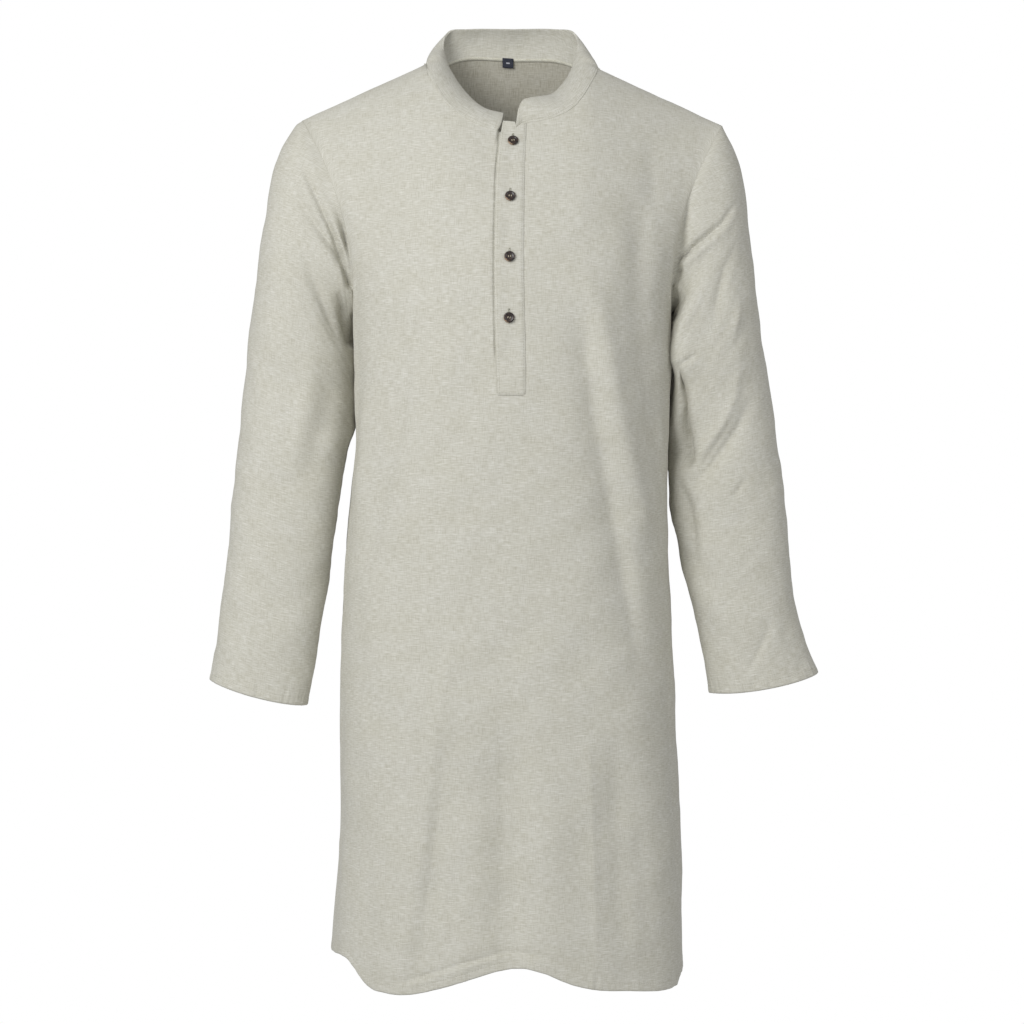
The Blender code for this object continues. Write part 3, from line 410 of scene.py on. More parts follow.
def panel_turns(front):
    """Columns of a panel, from the wearer's right to left on the front and back again on the back."""
    sides = {}
    for side, slot_x in ((-1, -SLOT_RIGHT_X), (1, SLOT_LEFT_X)):
        neck = neck_turn(side)
        outer = np.concatenate([EDGE_TURNS[:-1], np.linspace(EDGE_TURNS[-1], neck, SHOULDER_COLUMNS + 1)])
        if front:
            turns = np.linspace(0, 20, 801)
            fine_x = slot_x + SLOT_COLUMN_PITCH * np.arange(SLOT_COLUMNS, -1, -1)
            fine = np.interp(fine_x, body_ring(turns, ARMPIT_Z)[:, 0], turns)
        else:
            fine = np.zeros(1)
        # Columns that end at the neckline stand evenly along it.
        tries = neck - (neck - fine[0]) * np.linspace(0, 1, 121) ** 2.4
        line = np.array([
            upper_point(turn, neck_climb(turn, front), front)
            for turn in (side * tries if front else 180 - side * tries)
        ])
        reach = np.concatenate([[0.0], np.cumsum(np.linalg.norm(np.diff(line, axis=0), axis=1))])
        wanted = np.linspace(0, reach[-1], NECK_COLUMNS + 1 if front else NECK_COLUMNS + 2)[1:]
        inner = np.interp(wanted, reach, tries)
        inner = np.minimum(inner, neck - NECK_LEAST_TURN * np.arange(1, len(inner) + 1))
        sides[side] = np.concatenate([outer, inner, fine[1:]])
    if front:
        return np.concatenate([-sides[-1], [0.0], sides[1][::-1]])
    return 180 - np.concatenate([sides[1], -sides[-1][-2::-1]])


def armhole_furrow(x, z):
    """How deep the cloth is drawn in along the armhole seams."""
    right, left = (deep * plateau(z, *heights) for deep, heights in (FURROW_RIGHT, FURROW_LEFT))
    return np.where(x < 0, right, left)


def turned_hem(from_edge, stitch, facing, pucker):
    """Relief of a turned hem: its puckers, the stitched furrow, the facing's step and the rolled edge."""
    relief = pucker * (1 - ease(from_edge, stitch, FINE_ZONE * facing))
    relief -= STITCH_FURROW * hill(from_edge - stitch, STITCH_FURROW_WIDE)
    relief += FACING_STEP * (1 - ease(from_edge, facing - 0.001, facing + 0.0015))
    return relief - EDGE_ROLL * (1 - ease(from_edge, 0.0, EDGE_ROLL_WIDE))


def panel_grid(front):
    """The outer face of the front or the back, in rows from the hem up, and its thread lengths."""
    climbs = np.linspace(0, 1, 2001)
    up = oval(90 * climbs, FRONT_CREST if front else BACK_CREST)[0]
    edge = np.interp((1 - np.cos(np.linspace(0, math.pi, CHEST_ROWS + 1))) / 2, up, climbs)
    even = np.linspace(0, 1, CHEST_ROWS + 1)
    points, around, above_hem, climbed = [], [], [], []
    turns = panel_turns(front)
    for turn in turns:
        hem = hem_height(float(turned(turn, -1.0)))
        fine = np.linspace(0, FINE_ZONE * HEM_FACING, HEM_FINE_ROWS)
        coarse = np.linspace(fine[-1], ARMPIT_Z - hem, HEM_ROWS + 2 - HEM_FINE_ROWS)
        rise = np.concatenate([fine[:-1], coarse])
        hanging = turned(turn, hem + rise)
        from_middle = abs(turn) if front else abs(180 - turn)
        share = float(ease(from_middle, 30, 90))
        base = edge * share + even * (1 - share)
        # The neckline cuts a column short: its upper rows come down with it, and the lower ones stay level.
        short = 1 - neck_climb(turn, front)
        steps = base - short * base ** np.clip(0.8 / max(short, 0.01), 1, 14)
        points.append(np.concatenate([body_ring(hanging, hem + rise), upper_point(turn, steps[1:], front)]))
        around.append(np.concatenate([hanging, np.full(CHEST_ROWS, turn)]))
        above_hem.append(np.concatenate([rise, np.full(CHEST_ROWS, 1.0)]))
        climbed.append(steps[1:])
    points, around, above_hem = (np.stack(made, axis=1) for made in (points, around, above_hem))
    u, v = lengths_along(points, 1), lengths_along(points, 0)
    to_edge = np.minimum(u, u[:, -1:] - u)
    u = u - u[:, points.shape[1] // 2, None]
    v = v - v[HEM_ROWS]
    # Above the armpit the rows bend round the neck and the threads don't, so they are measured on level rows.
    level = np.linspace(0, 1, 61)
    level_u = lengths_along(np.stack([upper_point(turn, level, front) for turn in turns], axis=1), 1)
    level_u = level_u - level_u[:, points.shape[1] // 2, None]
    for k, steps in enumerate(climbed):
        u[HEM_ROWS + 1:, k] = np.interp(steps, level, level_u[:, k])
    x, z = points[..., 0], points[..., 2]
    depth = fold_depth(BODY_FOLDS, around, z, BODY_GIRTH_RADIUS)
    depth += fold_depth(BODY_CREASES, around, z, BODY_GIRTH_RADIUS, 1.5)
    # Wide soft waves all over, calm on the shoulders and at the placket, and finer ones.
    calm = (1 - 0.6 * ease(z, -0.20, 0.0)) * ease(to_edge, 0.0, 0.02)
    if front:
        calm *= 1 - 0.7 * hill(x, 0.03) * ease(z, -0.40, -0.36)
        edge_x = column(PLACKET_EDGES, "right_x", z)
        # Beside the open edge of the strip the front is drawn in, and above the top button it gapes.
        open_here = ease(z, SLOT_BOTTOM_Z - 0.004, SLOT_BOTTOM_Z + 0.010)
        depth -= DRAWN_IN * hill(x - edge_x + 0.0011, 0.0008) * open_here
        depth -= GAPE * hill(x - edge_x + 0.0024, 0.0015) * plateau(z, *GAPE_HEIGHTS)
    seed = 11 if front else 12
    depth += crumple(u, v, seed, *WIDE_WAVES) * calm
    depth += crumple(u, v, seed + FINE_SEED, *FINE_WAVES) * calm
    if front:
        creased = hill(x + 0.045, 0.045) * (1 - ease(z, -0.93, -0.80))
        depth += crumple(u + 0.5 * v, v, seed + CRUMPLED_SEED, *CRUMPLED_WAVES) * creased
    pucker = crumple(u, v * 0.2, seed + PUCKER_SEED, *HEM_PUCKER) * ease(to_edge, 0.0, 0.02)
    depth += turned_hem(above_hem, HEM_STITCH, HEM_FACING, pucker)
    above = ease(z, ARMPIT_Z, ARMPIT_Z + 0.02)
    depth += ALLOWANCE_LIFT * (1 - ease(to_edge, *ALLOWANCE_WIDE)) * above
    depth -= (SEAM_ROLL - SEAM_ROLL_LESS * above) * (1 - ease(to_edge, 0.0, SEAM_ROLL_WIDE))
    depth -= armhole_furrow(x, z) * (1 - ease(to_edge, 0.0, FURROW_WIDE)) * (z > ARMPIT_Z)
    return points + grid_normals(points) * depth[..., None], u, v


def cloth_mesh(name, points, u, v, closed=False, left_out=None):
    """A sheet through a grid of points, mapped by its thread lengths in metres. A closed one is a tube."""
    rows, columns = points.shape[:2]
    ring = columns - 1 if closed else columns
    r, c = np.meshgrid(np.arange(rows - 1), np.arange(columns - 1), indexing="ij")
    kept = np.ones(r.shape, bool) if left_out is None else ~left_out
    r, c = r[kept], c[kept]
    corners = [(r, c), (r, c + 1), (r + 1, c + 1), (r + 1, c)]
    faces = np.stack([i * ring + j % ring for i, j in corners], axis=1)
    used = np.unique(faces)
    place = np.zeros(rows * ring, int)
    place[used] = np.arange(len(used))
    mesh = bpy.data.meshes.new(name)
    mesh.from_pydata(points[:, :ring].reshape(-1, 3)[used].tolist(), [], place[faces].tolist())
    thread = mesh.uv_layers.new(name="thread")
    uv = np.stack([np.stack([u[i, j], v[i, j]], axis=1) for i, j in corners], axis=1)
    thread.data.foreach_set("uv", uv.astype(np.float32).ravel())
    mesh.shade_smooth()
    return mesh


def node(tree, kind, inputs=(), **settings):
    """A shader or geometry node with its settings; each input is given a value or linked to a socket."""
    made = tree.nodes.new(kind)
    for name, value in settings.items():
        setattr(made, name, value)
    for name, value in dict(inputs).items():
        if isinstance(value, bpy.types.NodeSocket):
            tree.links.new(value, made.inputs[name])
        else:
            made.inputs[name].default_value = value
    return made


def srgb(*levels):
    """A linear colour from the 0 to 255 levels of a screen."""
    return tuple(((c / 255 + 0.055) / 1.055) ** 2.4 if c > 10 else c / 255 / 12.92 for c in levels) + (1.0,)


def threads(tree, scale_u, scale_v, detail, turn=0.0):
    """Streaks of thread: noise stretched along one way of the cloth. Scales are streaks to the metre."""
    uv = node(tree, "ShaderNodeUVMap", uv_map="thread").outputs["UV"]
    laid = node(tree, "ShaderNodeMapping", {"Rotation": (0, 0, turn), "Vector": uv}).outputs["Vector"]
    stretch = node(tree, "ShaderNodeMapping", {"Scale": (scale_u, scale_v, 1), "Vector": laid})
    streaks = {"Scale": 1.0, "Detail": detail, "Roughness": 0.55, "Vector": stretch.outputs["Vector"]}
    return node(tree, "ShaderNodeTexNoise", streaks).outputs["Fac"]


def ramp(tree, source, low, high, dark, light):
    """A colour that goes from dark to light as source goes from low to high."""
    made = node(tree, "ShaderNodeValToRGB", {"Fac": source})
    for element, position, colour in zip(made.color_ramp.elements, (low, high), (dark, light)):
        element.position, element.color = position, colour
    return made.outputs["Color"]


def mix(tree, kind, factor, first, second):
    """Two colours mixed; each of the three is a value or a socket."""
    made = node(tree, "ShaderNodeMix", data_type="RGBA", blend_type=kind)
    sockets = {socket.identifier: socket for socket in made.inputs}
    for name, value in (("Factor_Float", factor), ("A_Color", first), ("B_Color", second)):
        if isinstance(value, bpy.types.NodeSocket):
            tree.links.new(value, sockets[name])
        else:
            sockets[name].default_value = value
    return next(socket for socket in made.outputs if socket.identifier == "Result_Color")


def blank_material(name, **values):
    """A new material, its tree and its shader, which takes the values; each is named with _ for a space."""
    material = bpy.data.materials.new(name)
    material.use_nodes = True
    shader = material.node_tree.nodes["Principled BSDF"]
    for key, value in values.items():
        shader.inputs[key.replace("_", " ")].default_value = value
    return material, material.node_tree, shader


def roughen(tree, shader, height, strength, distance):
    """Fine relief in the shader's normals, from a pattern."""
    bump = node(tree, "ShaderNodeBump", {"Strength": strength, "Distance": distance, "Height": height})
    tree.links.new(bump.outputs["Normal"], shader.inputs["Normal"])


WEFT_PALE = srgb(212, 211, 202)
WEFT_DEEP = srgb(190, 188, 175)
WARP_DEEP = srgb(166, 162, 145)
SLUB_PALE = srgb(224, 223, 215)
BLACK = (0, 0, 0, 1)
CLOUD_DEEP = (0.975, 0.97, 0.955, 1)
CLOUD_PALE = (1.02, 1.02, 1.03, 1)
LINEN_SHEEN = {"Roughness": 0.88, "Specular_IOR_Level": 0.25, "Sheen_Weight": 0.12, "Sheen_Roughness": 0.6}


def linen(name, turn=0.0, tint=(1.0, 1.0, 1.0, 1.0), streak=1.0):
    """Plain-woven slubbed linen: pale weft slubs over a deeper warp, with a matt, slightly hairy face."""
    material, tree, shader = blank_material(name, **LINEN_SHEEN)
    weft = threads(tree, 120, 1150, 2.0, turn)
    slub = threads(tree, 62, 820, 1.0, turn)
    warp = threads(tree, 1150, 95, 2.0, turn)
    cloud = threads(tree, 22, 34, 2.0, turn)
    warp_share = ramp(tree, warp, 0.48, 0.76, BLACK, (0.5 * streak,) * 3 + (1,))
    slub_share = ramp(tree, slub, 0.60, 0.76, BLACK, (0.65, 0.65, 0.65, 1))
    base = mix(tree, "MIX", warp_share, ramp(tree, weft, 0.34, 0.68, WEFT_DEEP, WEFT_PALE), WARP_DEEP)
    base = mix(tree, "MIX", slub_share, base, SLUB_PALE)
    base = mix(tree, "MULTIPLY", 1.0, base, ramp(tree, cloud, 0.3, 0.7, CLOUD_DEEP, CLOUD_PALE))
    base = mix(tree, "MULTIPLY", 1.0, base, tint)
    tree.links.new(base, shader.inputs["Base Color"])
    roughen(tree, shader, mix(tree, "MIX", 0.5, weft, warp), 0.4, 0.0004)
    return material


LINEN_OUT = linen("linen outside")
# The inside face is the same linen painted a little darker, with more of its deep warp showing: painted shade
# for the hollow inside of the garment.
LINEN_IN_SHADED = linen("linen inside, painted shade", tint=srgb(252, 250, 246), streak=1.9)


def placed(name, mesh, nodes):
    """A piece in the scene: on the root body, in place of the solids that it stands for."""
    piece = bpy.data.objects.new(name, mesh)
    bpy.context.scene.collection.objects.link(piece)
    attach(piece, "root")
    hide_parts(*nodes)
    return piece


def sewn_piece(name, sheet, thickness, materials, nodes, slot="cloth", **shape):
    """A cloth piece through a sheet's points and thread lengths, with its thickness laid inwards."""
    mesh = cloth_mesh(name, *sheet, **shape)
    for material in materials:
        mesh.materials.append(material)
    piece = placed(name, mesh, nodes)
    wall = piece.modifiers.new("thickness", "SOLIDIFY")
    wall.thickness = thickness
    wall.offset = -1
    wall.material_offset = len(materials) - 1
    return piece


front, front_u, front_v = panel_grid(True)
front_out = grid_normals(front)
middle = front.shape[1] // 2
slit = np.zeros((front.shape[0] - 1, front.shape[1] - 1), bool)
slit[:, middle - 1:middle + 1] = (front[:-1, middle, 2] > SLOT_BOTTOM_Z)[:, None]
front_piece = sewn_piece(
    "front_panel", (front, front_u, front_v), CLOTH, (LINEN_OUT, LINEN_IN_SHADED), ["front"], left_out=slit,
)

# ---- The back ----
# One panel of the same linen, cut a little longer than the front. It is sewn to the front down both sides and
# along the shoulders, and its seams lie in the same places, so the two share their edges.
back, back_u, back_v = panel_grid(False)
back_out = grid_normals(back)
back_piece = sewn_piece("back_panel", (back, back_u, back_v), CLOTH, (LINEN_OUT, LINEN_IN_SHADED), ["back"])

# ---- The sleeves ----
# Two plain tubes of linen, set into the armholes and closed by a seam under the arm, with narrow turned hems.
# "Swing" is the angle round a sleeve: 0 under the arm, 90 its front, 180 its outer edge and 270 its back.
# The rings' columns are outer_x, outer_z, inner_x, inner_z, middle_y, half_y, bow and sag. Bow is how far the
# armhole's middle is drawn in, and sag how far the cuff's is drawn down. All are in tenths of a millimetre.
SLEEVE_RIGHT = (
    (2374, -680, 1730, -2725, 0, 480, 120, 0),
    (2522, -930, 1733, -2750, 0, 495, 90, 0),
    (2624, -1230, 1733, -2785, 10, 510, 50, 0),
    (2690, -1570, 1731, -2835, 20, 525, 20, 0),
    (2740, -1850, 1727, -2930, 30, 540, 0, 0),
    (2795, -2270, 1721, -3170, 40, 550, 0, 0),
    (2860, -2780, 1716, -3550, 60, 550, 0, 0),
    (2925, -3330, 1722, -3950, 70, 540, 0, 0),
    (2985, -3980, 1818, -4275, 60, 520, 0, 0),
    (3055, -4600, 1900, -4820, 30, 490, 0, 0),
    (3108, -5300, 1995, -5530, -20, 450, 0, 0),
    (3190, -5990, 2100, -6230, -70, 410, 0, 0),
    (3250, -6400, 2165, -6650, -100, 385, 0, 20),
    (3285, -6710, 2240, -6985, -120, 370, 0, 40),
)
SLEEVE_LEFT = (
    (2338, -735, 1745, -2725, 0, 480, 120, 0),
    (2434, -920, 1732, -2750, 0, 495, 90, 0),
    (2514, -1150, 1726, -2785, 10, 510, 50, 0),
    (2565, -1470, 1724, -2835, 20, 525, 20, 0),
    (2600, -1850, 1722, -2930, 30, 540, 0, 0),
    (2655, -2290, 1718, -3170, 40, 550, 0, 0),
    (2725, -2830, 1722, -3550, 60, 550, 0, 0),
    (2800, -3370, 1714, -4000, 70, 540, 0, 0),
    (2885, -3965, 1716, -4450, 60, 520, 0, 0),
    (2960, -4530, 1733, -4850, 30, 500, 0, 0),
    (3030, -5240, 1850, -5400, -20, 460, 0, 0),
    (3090, -5850, 1995, -6030, -60, 420, 0, 0),
    (3195, -6230, 2075, -6400, -90, 390, 0, 20),
    (3325, -6640, 2165, -6850, -120, 370, 0, 50),
)
TENTHS = 10000            # to the metre
SLEEVE_SQUARENESS = 2.15
SLEEVE_GIRTH_RADIUS = 0.056
SLEEVE_RIGHT_FOLDS = [Fold(*row) for row in (
    (78, -0.315, 84, -0.44, 0.011, 0.0026),  # the arm's inner crease, bright on its outer side
    (58, -0.35, 62, -0.44, 0.012, -0.003),
    (120, -0.33, 90, -0.4, 0.014, -0.0016),
    (100, -0.45, 60, -0.5, 0.012, -0.002),
    (110, -0.56, 70, -0.6, 0.012, -0.0016),
)]
SLEEVE_LEFT_FOLDS = [Fold(*row) for row in (
    (110, -0.6, 80, -0.65, 0.012, -0.0016),
)]
# A crease of a sleeve's front or back is a width and a line of places: x, z and depth, in the same unit.
SLEEVE_RIGHT_FRONT = (
    # the long valley from the shoulder to the armpit
    (34, ((2354, -972, 0), (2202, -1274, -42), (2073, -1566, -60), (1932, -1879, -90), (1847, -2099, -110),
        (1749, -2425, -84))),
    # one that joins it from the outside
    (50, ((2397, -1274, 0), (2267, -1566, -36), (2116, -1782, -60), (1986, -1954, -70),
        (1858, -2142, -58))),
    # the bright ridge between it and the seam, and the hollow at the seam
    (28, ((2030, -1576, 0), (1891, -1838, 30), (1804, -2033, 42), (1738, -2316, 19))),
    (34, ((2062, -1339, 0), (1889, -1598, -30), (1825, -1783, -80), (1771, -1990, -91), (1728, -2164, 0))),
    # soft falls below the armpit
    (75, ((2267, -2073, 0), (2094, -2472, -46), (1954, -2796, -58), (1847, -3120, 0))),
    (55, ((1891, -2490, 0), (1814, -2707, -95), (1749, -3011, -76))),
)
SLEEVE_RIGHT_BACK = (
    # pulls that run down to the armpit
    (55, ((2380, -1000, 0), (2150, -1400, -34), (1950, -1850, -56), (1760, -2380, -42))),
    (50, ((2480, -1500, 0), (2250, -1850, -28), (1980, -2200, -42), (1780, -2460, 0))),
    # the bend of the elbow
    (80, ((2880, -3300, 0), (2500, -3800, -48), (2050, -4150, -42), (1850, -4300, 0))),
    (70, ((3080, -5400, 0), (2700, -5850, -25), (2350, -6100, 0))),
)
SLEEVE_LEFT_FRONT = (
    # the sharp pull from the shoulder to the armpit
    (27, ((2472, -1468, 0), (2267, -1760, -34), (2116, -1890, -61), (1965, -2008, -85),
        (1793, -2142, -95))),
    # the bright ridge under it
    (46, ((2483, -1576, 0), (2290, -1846, 16), (2138, -1985, 24), (1987, -2104, 32), (1847, -2216, 20))),
    # the hollow over it, and the ones in the armpit
    (70, ((1869, -1327, 0), (1847, -1653, -68), (1825, -2033, -51))),
    (36, ((1825, -2164, 0), (1793, -2283, -85), (1771, -2425, 0))),
    (36, ((1771, -2446, 0), (1760, -2598, -78), (1738, -2816, 0))),
    # soft falls down the upper arm
    (80, ((2461, -1922, 0), (2289, -2267, -44), (2224, -2591, -44), (2148, -2937, 0))),
    (60, ((2461, -2483, 0), (2429, -2829, 31), (2343, -3153, 0))),
    (28, ((2019, -3174, 0), (1922, -3228, -27), (1804, -3294, -17))),
    # the long bend at the elbow, with a crisp side
    (82, ((2602, -3584, 0), (2449, -3973, -46), (2297, -4178, -60), (2125, -4404, -66),
        (1975, -4545, -40))),
    (22, ((2408, -3822, 0), (2222, -4115, -20), (2061, -4352, -16))),
    (60, ((2472, -3131, 0), (2408, -3649, 26), (2247, -3985, 36), (2063, -4223, 30), (1986, -4320, 0))),
    # the hollow that the bend leaves beside the body
    (64, ((1749, -3250, 0), (1814, -3533, -153), (1836, -3880, -187), (1889, -4275, -136),
        (1900, -4427, 0))),
    (30, ((1760, -3489, 0), (1825, -3717, 12), (1891, -4011, 12), (1922, -4232, 0))),
    (60, ((1782, -4467, 0), (1891, -4782, -64), (1943, -5074, -64), (2008, -5528, 0))),
    # small crisp ones
    (28, ((2548, -4502, 0), (2451, -4632, -22), (2364, -4750, 0))),
    (32, ((2829, -6024, 0), (2699, -6316, -27), (2569, -6564, -17))),
)
SLEEVE_LEFT_BACK = (
    # pulls that run down to the armpit
    (55, ((2360, -1080, 0), (2140, -1500, -36), (1940, -1950, -56), (1770, -2450, -39))),
    (50, ((2460, -1620, 0), (2200, -1980, -31), (1960, -2300, -42), (1800, -2540, 0))),
    # the bend of the elbow
    (85, ((2760, -3200, 0), (2450, -3650, -50), (2050, -4050, -48), (1820, -4250, 0))),
    (70, ((3050, -5200, 0), (2680, -5600, -25), (2300, -5900, 0))),
)
CUFF_STITCH = 0.0080
CUFF_FACING = 0.0095
SLEEVE_ROWS = 222
SLEEVE_CROWDING = 0.38        # rows stand closer at the armhole by this share
SLEEVE_FINE_ROWS = 18
FIRST_RING = 0.0015          # from the armhole's seam to the first ring outside it
UNDER_ARM_FURROW = 0.0008    # the seam under the arm lies in a shallow furrow
UNDER_ARM_WIDE = 0.002
HEAD_FURROW_WIDE = 0.0080
SLEEVE_LAID_UNDER = 0.0004   # a sleeve starts this far under the edge of the body
TUCK_COLUMN = 3              # its first ring lies under this column of the body, inside the seam
CUFF_PUCKER = (0.00035, 0.010, 0.022)
SLEEVE_WIDE_WAVES = (0.0008, 0.05, 0.12)
# The side of the body covers a sleeve's inner edge, which is pressed back so far below the origin, in metres.
SLEEVE_PRESSED_BACK = 0.017
PRESSED_Z = {-1: (0.266, 0.292, 0.385, 0.425), 1: (0.340, 0.380, 0.410, 0.460)}
PRESSED_EDGE = {-1: 2, 1: 5}            # the higher, the narrower the edge that is pressed back
# Below the armpit the left one's inner edge lies on the body's side: there it is squarer and further forward.
LAID_ON_SQUARENESS = {-1: 0.0, 1: 2.6}
LAID_ON_FORWARD = {-1: 0.0, 1: 0.014}
LAID_ON_PLACES = (3.5, 5.5, 7.4, 8.6)   # rising and falling between these rows of its table


def crease_depth(creases, x, z):
    """How far the creases move each point: each crease has its depth at the nearest place on its line."""
    total = np.zeros(x.shape)
    for width, path in creases:
        nearest, deep, path = np.full(x.shape, np.inf), np.zeros(x.shape), np.array(path) / TENTHS
        for (x_a, z_a, depth_a), (x_b, z_b, depth_b) in zip(path[:-1], path[1:]):
            along_x, along_z = x_b - x_a, z_b - z_a
            t = np.clip(((x - x_a) * along_x + (z - z_a) * along_z) / (along_x**2 + along_z**2), 0, 1)
            away = np.hypot(x - x_a - t * along_x, z - z_a - t * along_z)
            deep = np.where(away < nearest, depth_a + (depth_b - depth_a) * t, deep)
            nearest = np.minimum(nearest, away)
        total += deep * np.exp(-((nearest / (width / TENTHS)) ** 1.5))
    return total


def sleeve_grid(side, rings, folds, front_creases, back_creases, seed):
    """The outer face of a sleeve, as rings from inside the armhole to the cuff, and its thread lengths."""
    sweep = np.linspace(0, 180, CHEST_ROWS + 1)
    swing = np.concatenate([sweep, 360 - sweep[-2::-1]])
    at_front, at_back = (-1, 0) if side > 0 else (0, -1)
    armhole, tuck = (
        np.concatenate([
            (front - SLEEVE_LAID_UNDER * front_out)[HEM_ROWS:, at_front - side * step],
            (back - SLEEVE_LAID_UNDER * back_out)[HEM_ROWS:-1, at_back + side * step][::-1],
        ])
        for step in (0, TUCK_COLUMN)
    )
    tip, pit = armhole_point(np.array([1.0, 0.0]), side, True)
    start = (abs(tip[0]), tip[2], abs(pit[0]), pit[2], 0.0, ARMHOLE_DEPTH, ARMHOLE_BOW, 0.0)
    table = np.concatenate([[start], np.array(rings) / TENTHS])
    knots = np.arange(len(table))
    # Rings stand evenly along the sleeve's middle line, and close together at the cuff.
    fine = np.linspace(0, len(rings), 1501)
    line = np.stack([spline(fine, knots, (table[:, k] + table[:, k + 2]) / 2) for k in (0, 1)], axis=1)
    reach = np.concatenate([[0.0], np.cumsum(np.linalg.norm(np.diff(line, axis=0), axis=1))])
    near_cuff = reach[-1] - FINE_ZONE * CUFF_FACING
    even = np.linspace(0, 1, SLEEVE_ROWS - SLEEVE_FINE_ROWS)
    wanted = np.concatenate([
        FIRST_RING + (near_cuff - FIRST_RING) * ((1 - SLEEVE_CROWDING) * even + SLEEVE_CROWDING * even**2),
        np.linspace(near_cuff, reach[-1], SLEEVE_FINE_ROWS)[1:],
    ])
    place = np.interp(wanted, reach, fine)[:, None]
    to_cuff = (reach[-1] - wanted)[:, None]
    outer_x, outer_z, inner_x, inner_z, middle_y, half_y, bow, sag = (
        spline(place, knots, table[:, k]) for k in range(table.shape[1])
    )
    laid_on = plateau(place, *LAID_ON_PLACES)
    square = 2 + (SLEEVE_SQUARENESS - 2) * ease(place, 0, 1.0)
    square = square + LAID_ON_SQUARENESS[side] * laid_on * ease(90 - swing, 0, 60)
    sine, cosine = oval(swing, square)
    share = (1 - cosine) / 2
    pressed = plateau(-inner_z, *PRESSED_Z[side])
    x = inner_x + (outer_x - inner_x) * share - bow * sine**2
    half_y = half_y * (1 - ARMHOLE_TOP_LESS * ease(share, 0.55, 0.95) * (1 - ease(place, 0, 1.5)))
    middle_y = middle_y - LAID_ON_FORWARD[side] * laid_on * (1 - share) ** 3
    y = middle_y - half_y * sine + SLEEVE_PRESSED_BACK * pressed * (1 - share) ** PRESSED_EDGE[side]
    z = inner_z + (outer_z - inner_z) * share - sag * sine**2
    points = np.stack([side * x, y, z], axis=-1)
    whole = np.concatenate([tuck[None], armhole[None], points])
    u = lengths_along(whole, 1)
    u = u - u[:, CHEST_ROWS, None]
    v = lengths_along(whole, 0)
    v = v - v[-1]
    out = -side * grid_normals(points[:, :-1], closed=True)
    out = np.concatenate([out, out[:, :1]], axis=1)
    depth = fold_depth(folds, swing[None, :], z, SLEEVE_GIRTH_RADIUS) * ease(place, 0.0, 1.6)
    for creases, facing in ((front_creases, 1), (back_creases, -1)):
        seen = ease(facing * np.sin(np.radians(swing)), -0.10, 0.15)
        depth += crease_depth(creases, x, z) * seen * ease(place, 0.0, 0.12)
    calm = ease(place, 0.0, 0.8)
    down = wanted[:, None]
    turn_x, turn_y = (SLEEVE_GIRTH_RADIUS * way(np.radians(swing)) for way in (np.cos, np.sin))
    depth += crumple(turn_x + 0.5 * down, turn_y - down, seed, *SLEEVE_WIDE_WAVES) * calm
    depth += crumple(turn_x - down, turn_y + 0.7 * down, seed + FINE_SEED, *FINE_WAVES) * calm
    pucker = crumple(turn_x * 2, turn_y * 2 + 0.2 * to_cuff, seed + PUCKER_SEED, *CUFF_PUCKER)
    depth += turned_hem(to_cuff, CUFF_STITCH, CUFF_FACING, pucker)
    # The head of the sleeve comes up from under the body's edge, out of the furrow of the seam.
    depth -= SLEEVE_LAID_UNDER * (1 - ease(place, 0.0, 0.08))
    depth -= armhole_furrow(side * x, z) * (1 - ease(down, 0.0, HEAD_FURROW_WIDE))
    ends = sum(hill(u[2:] - end, UNDER_ARM_WIDE) for end in (u[2:, :1], u[2:, -1:]))
    depth -= UNDER_ARM_FURROW * ends
    whole[2:] += out * depth[..., None]
    whole[:, -1] = whole[:, 0]
    return whole, u, v


sleeves, sleeve_pieces = {}, {}
for name, node_name, side, seed, *tables in (
    ("right_sleeve", "sleeve_right", -1, 13,
     SLEEVE_RIGHT, SLEEVE_RIGHT_FOLDS, SLEEVE_RIGHT_FRONT, SLEEVE_RIGHT_BACK),
    ("left_sleeve", "sleeve_left", 1, 14,
     SLEEVE_LEFT, SLEEVE_LEFT_FOLDS, SLEEVE_LEFT_FRONT, SLEEVE_LEFT_BACK),
):
    sheet = [made[:, ::-side] for made in sleeve_grid(side, *tables, seed)]
    sleeves[side] = sheet[0]
    sleeve_pieces[side] = sewn_piece(name, sheet, CLOTH, (LINEN_OUT, LINEN_IN_SHADED), [node_name], closed=True)

# ---- The collar ----
# A band of two layers of the linen and an interlining, about 35 mm high. It takes the neckline's edge between
# its layers, and stands up round the neck with rounded ends apart in front.
# "Swing" here is the angle round the neck: 0 the back middle, above 0 the wearer's left.
CollarTop = namedtuple("CollarTop", "swing x y z bulge")
COLLAR_TOP = [CollarTop(*row) for row in (
    (-170.5, -0.0086, -0.05, -0.0577, 0.0035),
    (-162, -0.0205, -0.047, -0.0545, 0.004),
    (-150, -0.032, -0.041, -0.0495, 0.0045),
    (-135, -0.0465, -0.029, -0.0355, 0.0045),
    (-120, -0.0565, -0.016, -0.0225, 0.0045),
    (-105, -0.065, -0.002, -0.007, 0.0055),
    (-90, -0.0715, 0.011, 0.008, 0.0075),
    (-75, -0.0755, 0.028, 0.027, 0.009),
    (-58, -0.0715, 0.047, 0.0455, 0.0075),
    (-35, -0.048, 0.055, 0.05, 0.005),
    (0, 0, 0.0575, 0.0505, 0.0045),
    (35, 0.0475, 0.055, 0.05, 0.005),
    (58, 0.069, 0.047, 0.045, 0.0065),
    (75, 0.072, 0.028, 0.027, 0.0075),
    (90, 0.068, 0.011, 0.008, 0.0065),
    (105, 0.0625, -0.002, -0.007, 0.0055),
    (120, 0.055, -0.016, -0.021, 0.0045),
    (135, 0.044, -0.03, -0.033, 0.0045),
    (150, 0.032, -0.047, -0.0385, 0.0045),
    (162, 0.021, -0.056, -0.0415, 0.004),
    (177.6, 0.006, -0.061, -0.0455, 0.0035),
)]
COLLAR_CLOTH = 0.0021
COLLAR_PROUD = 0.0006     # the band's outer layer stands this far over the panels
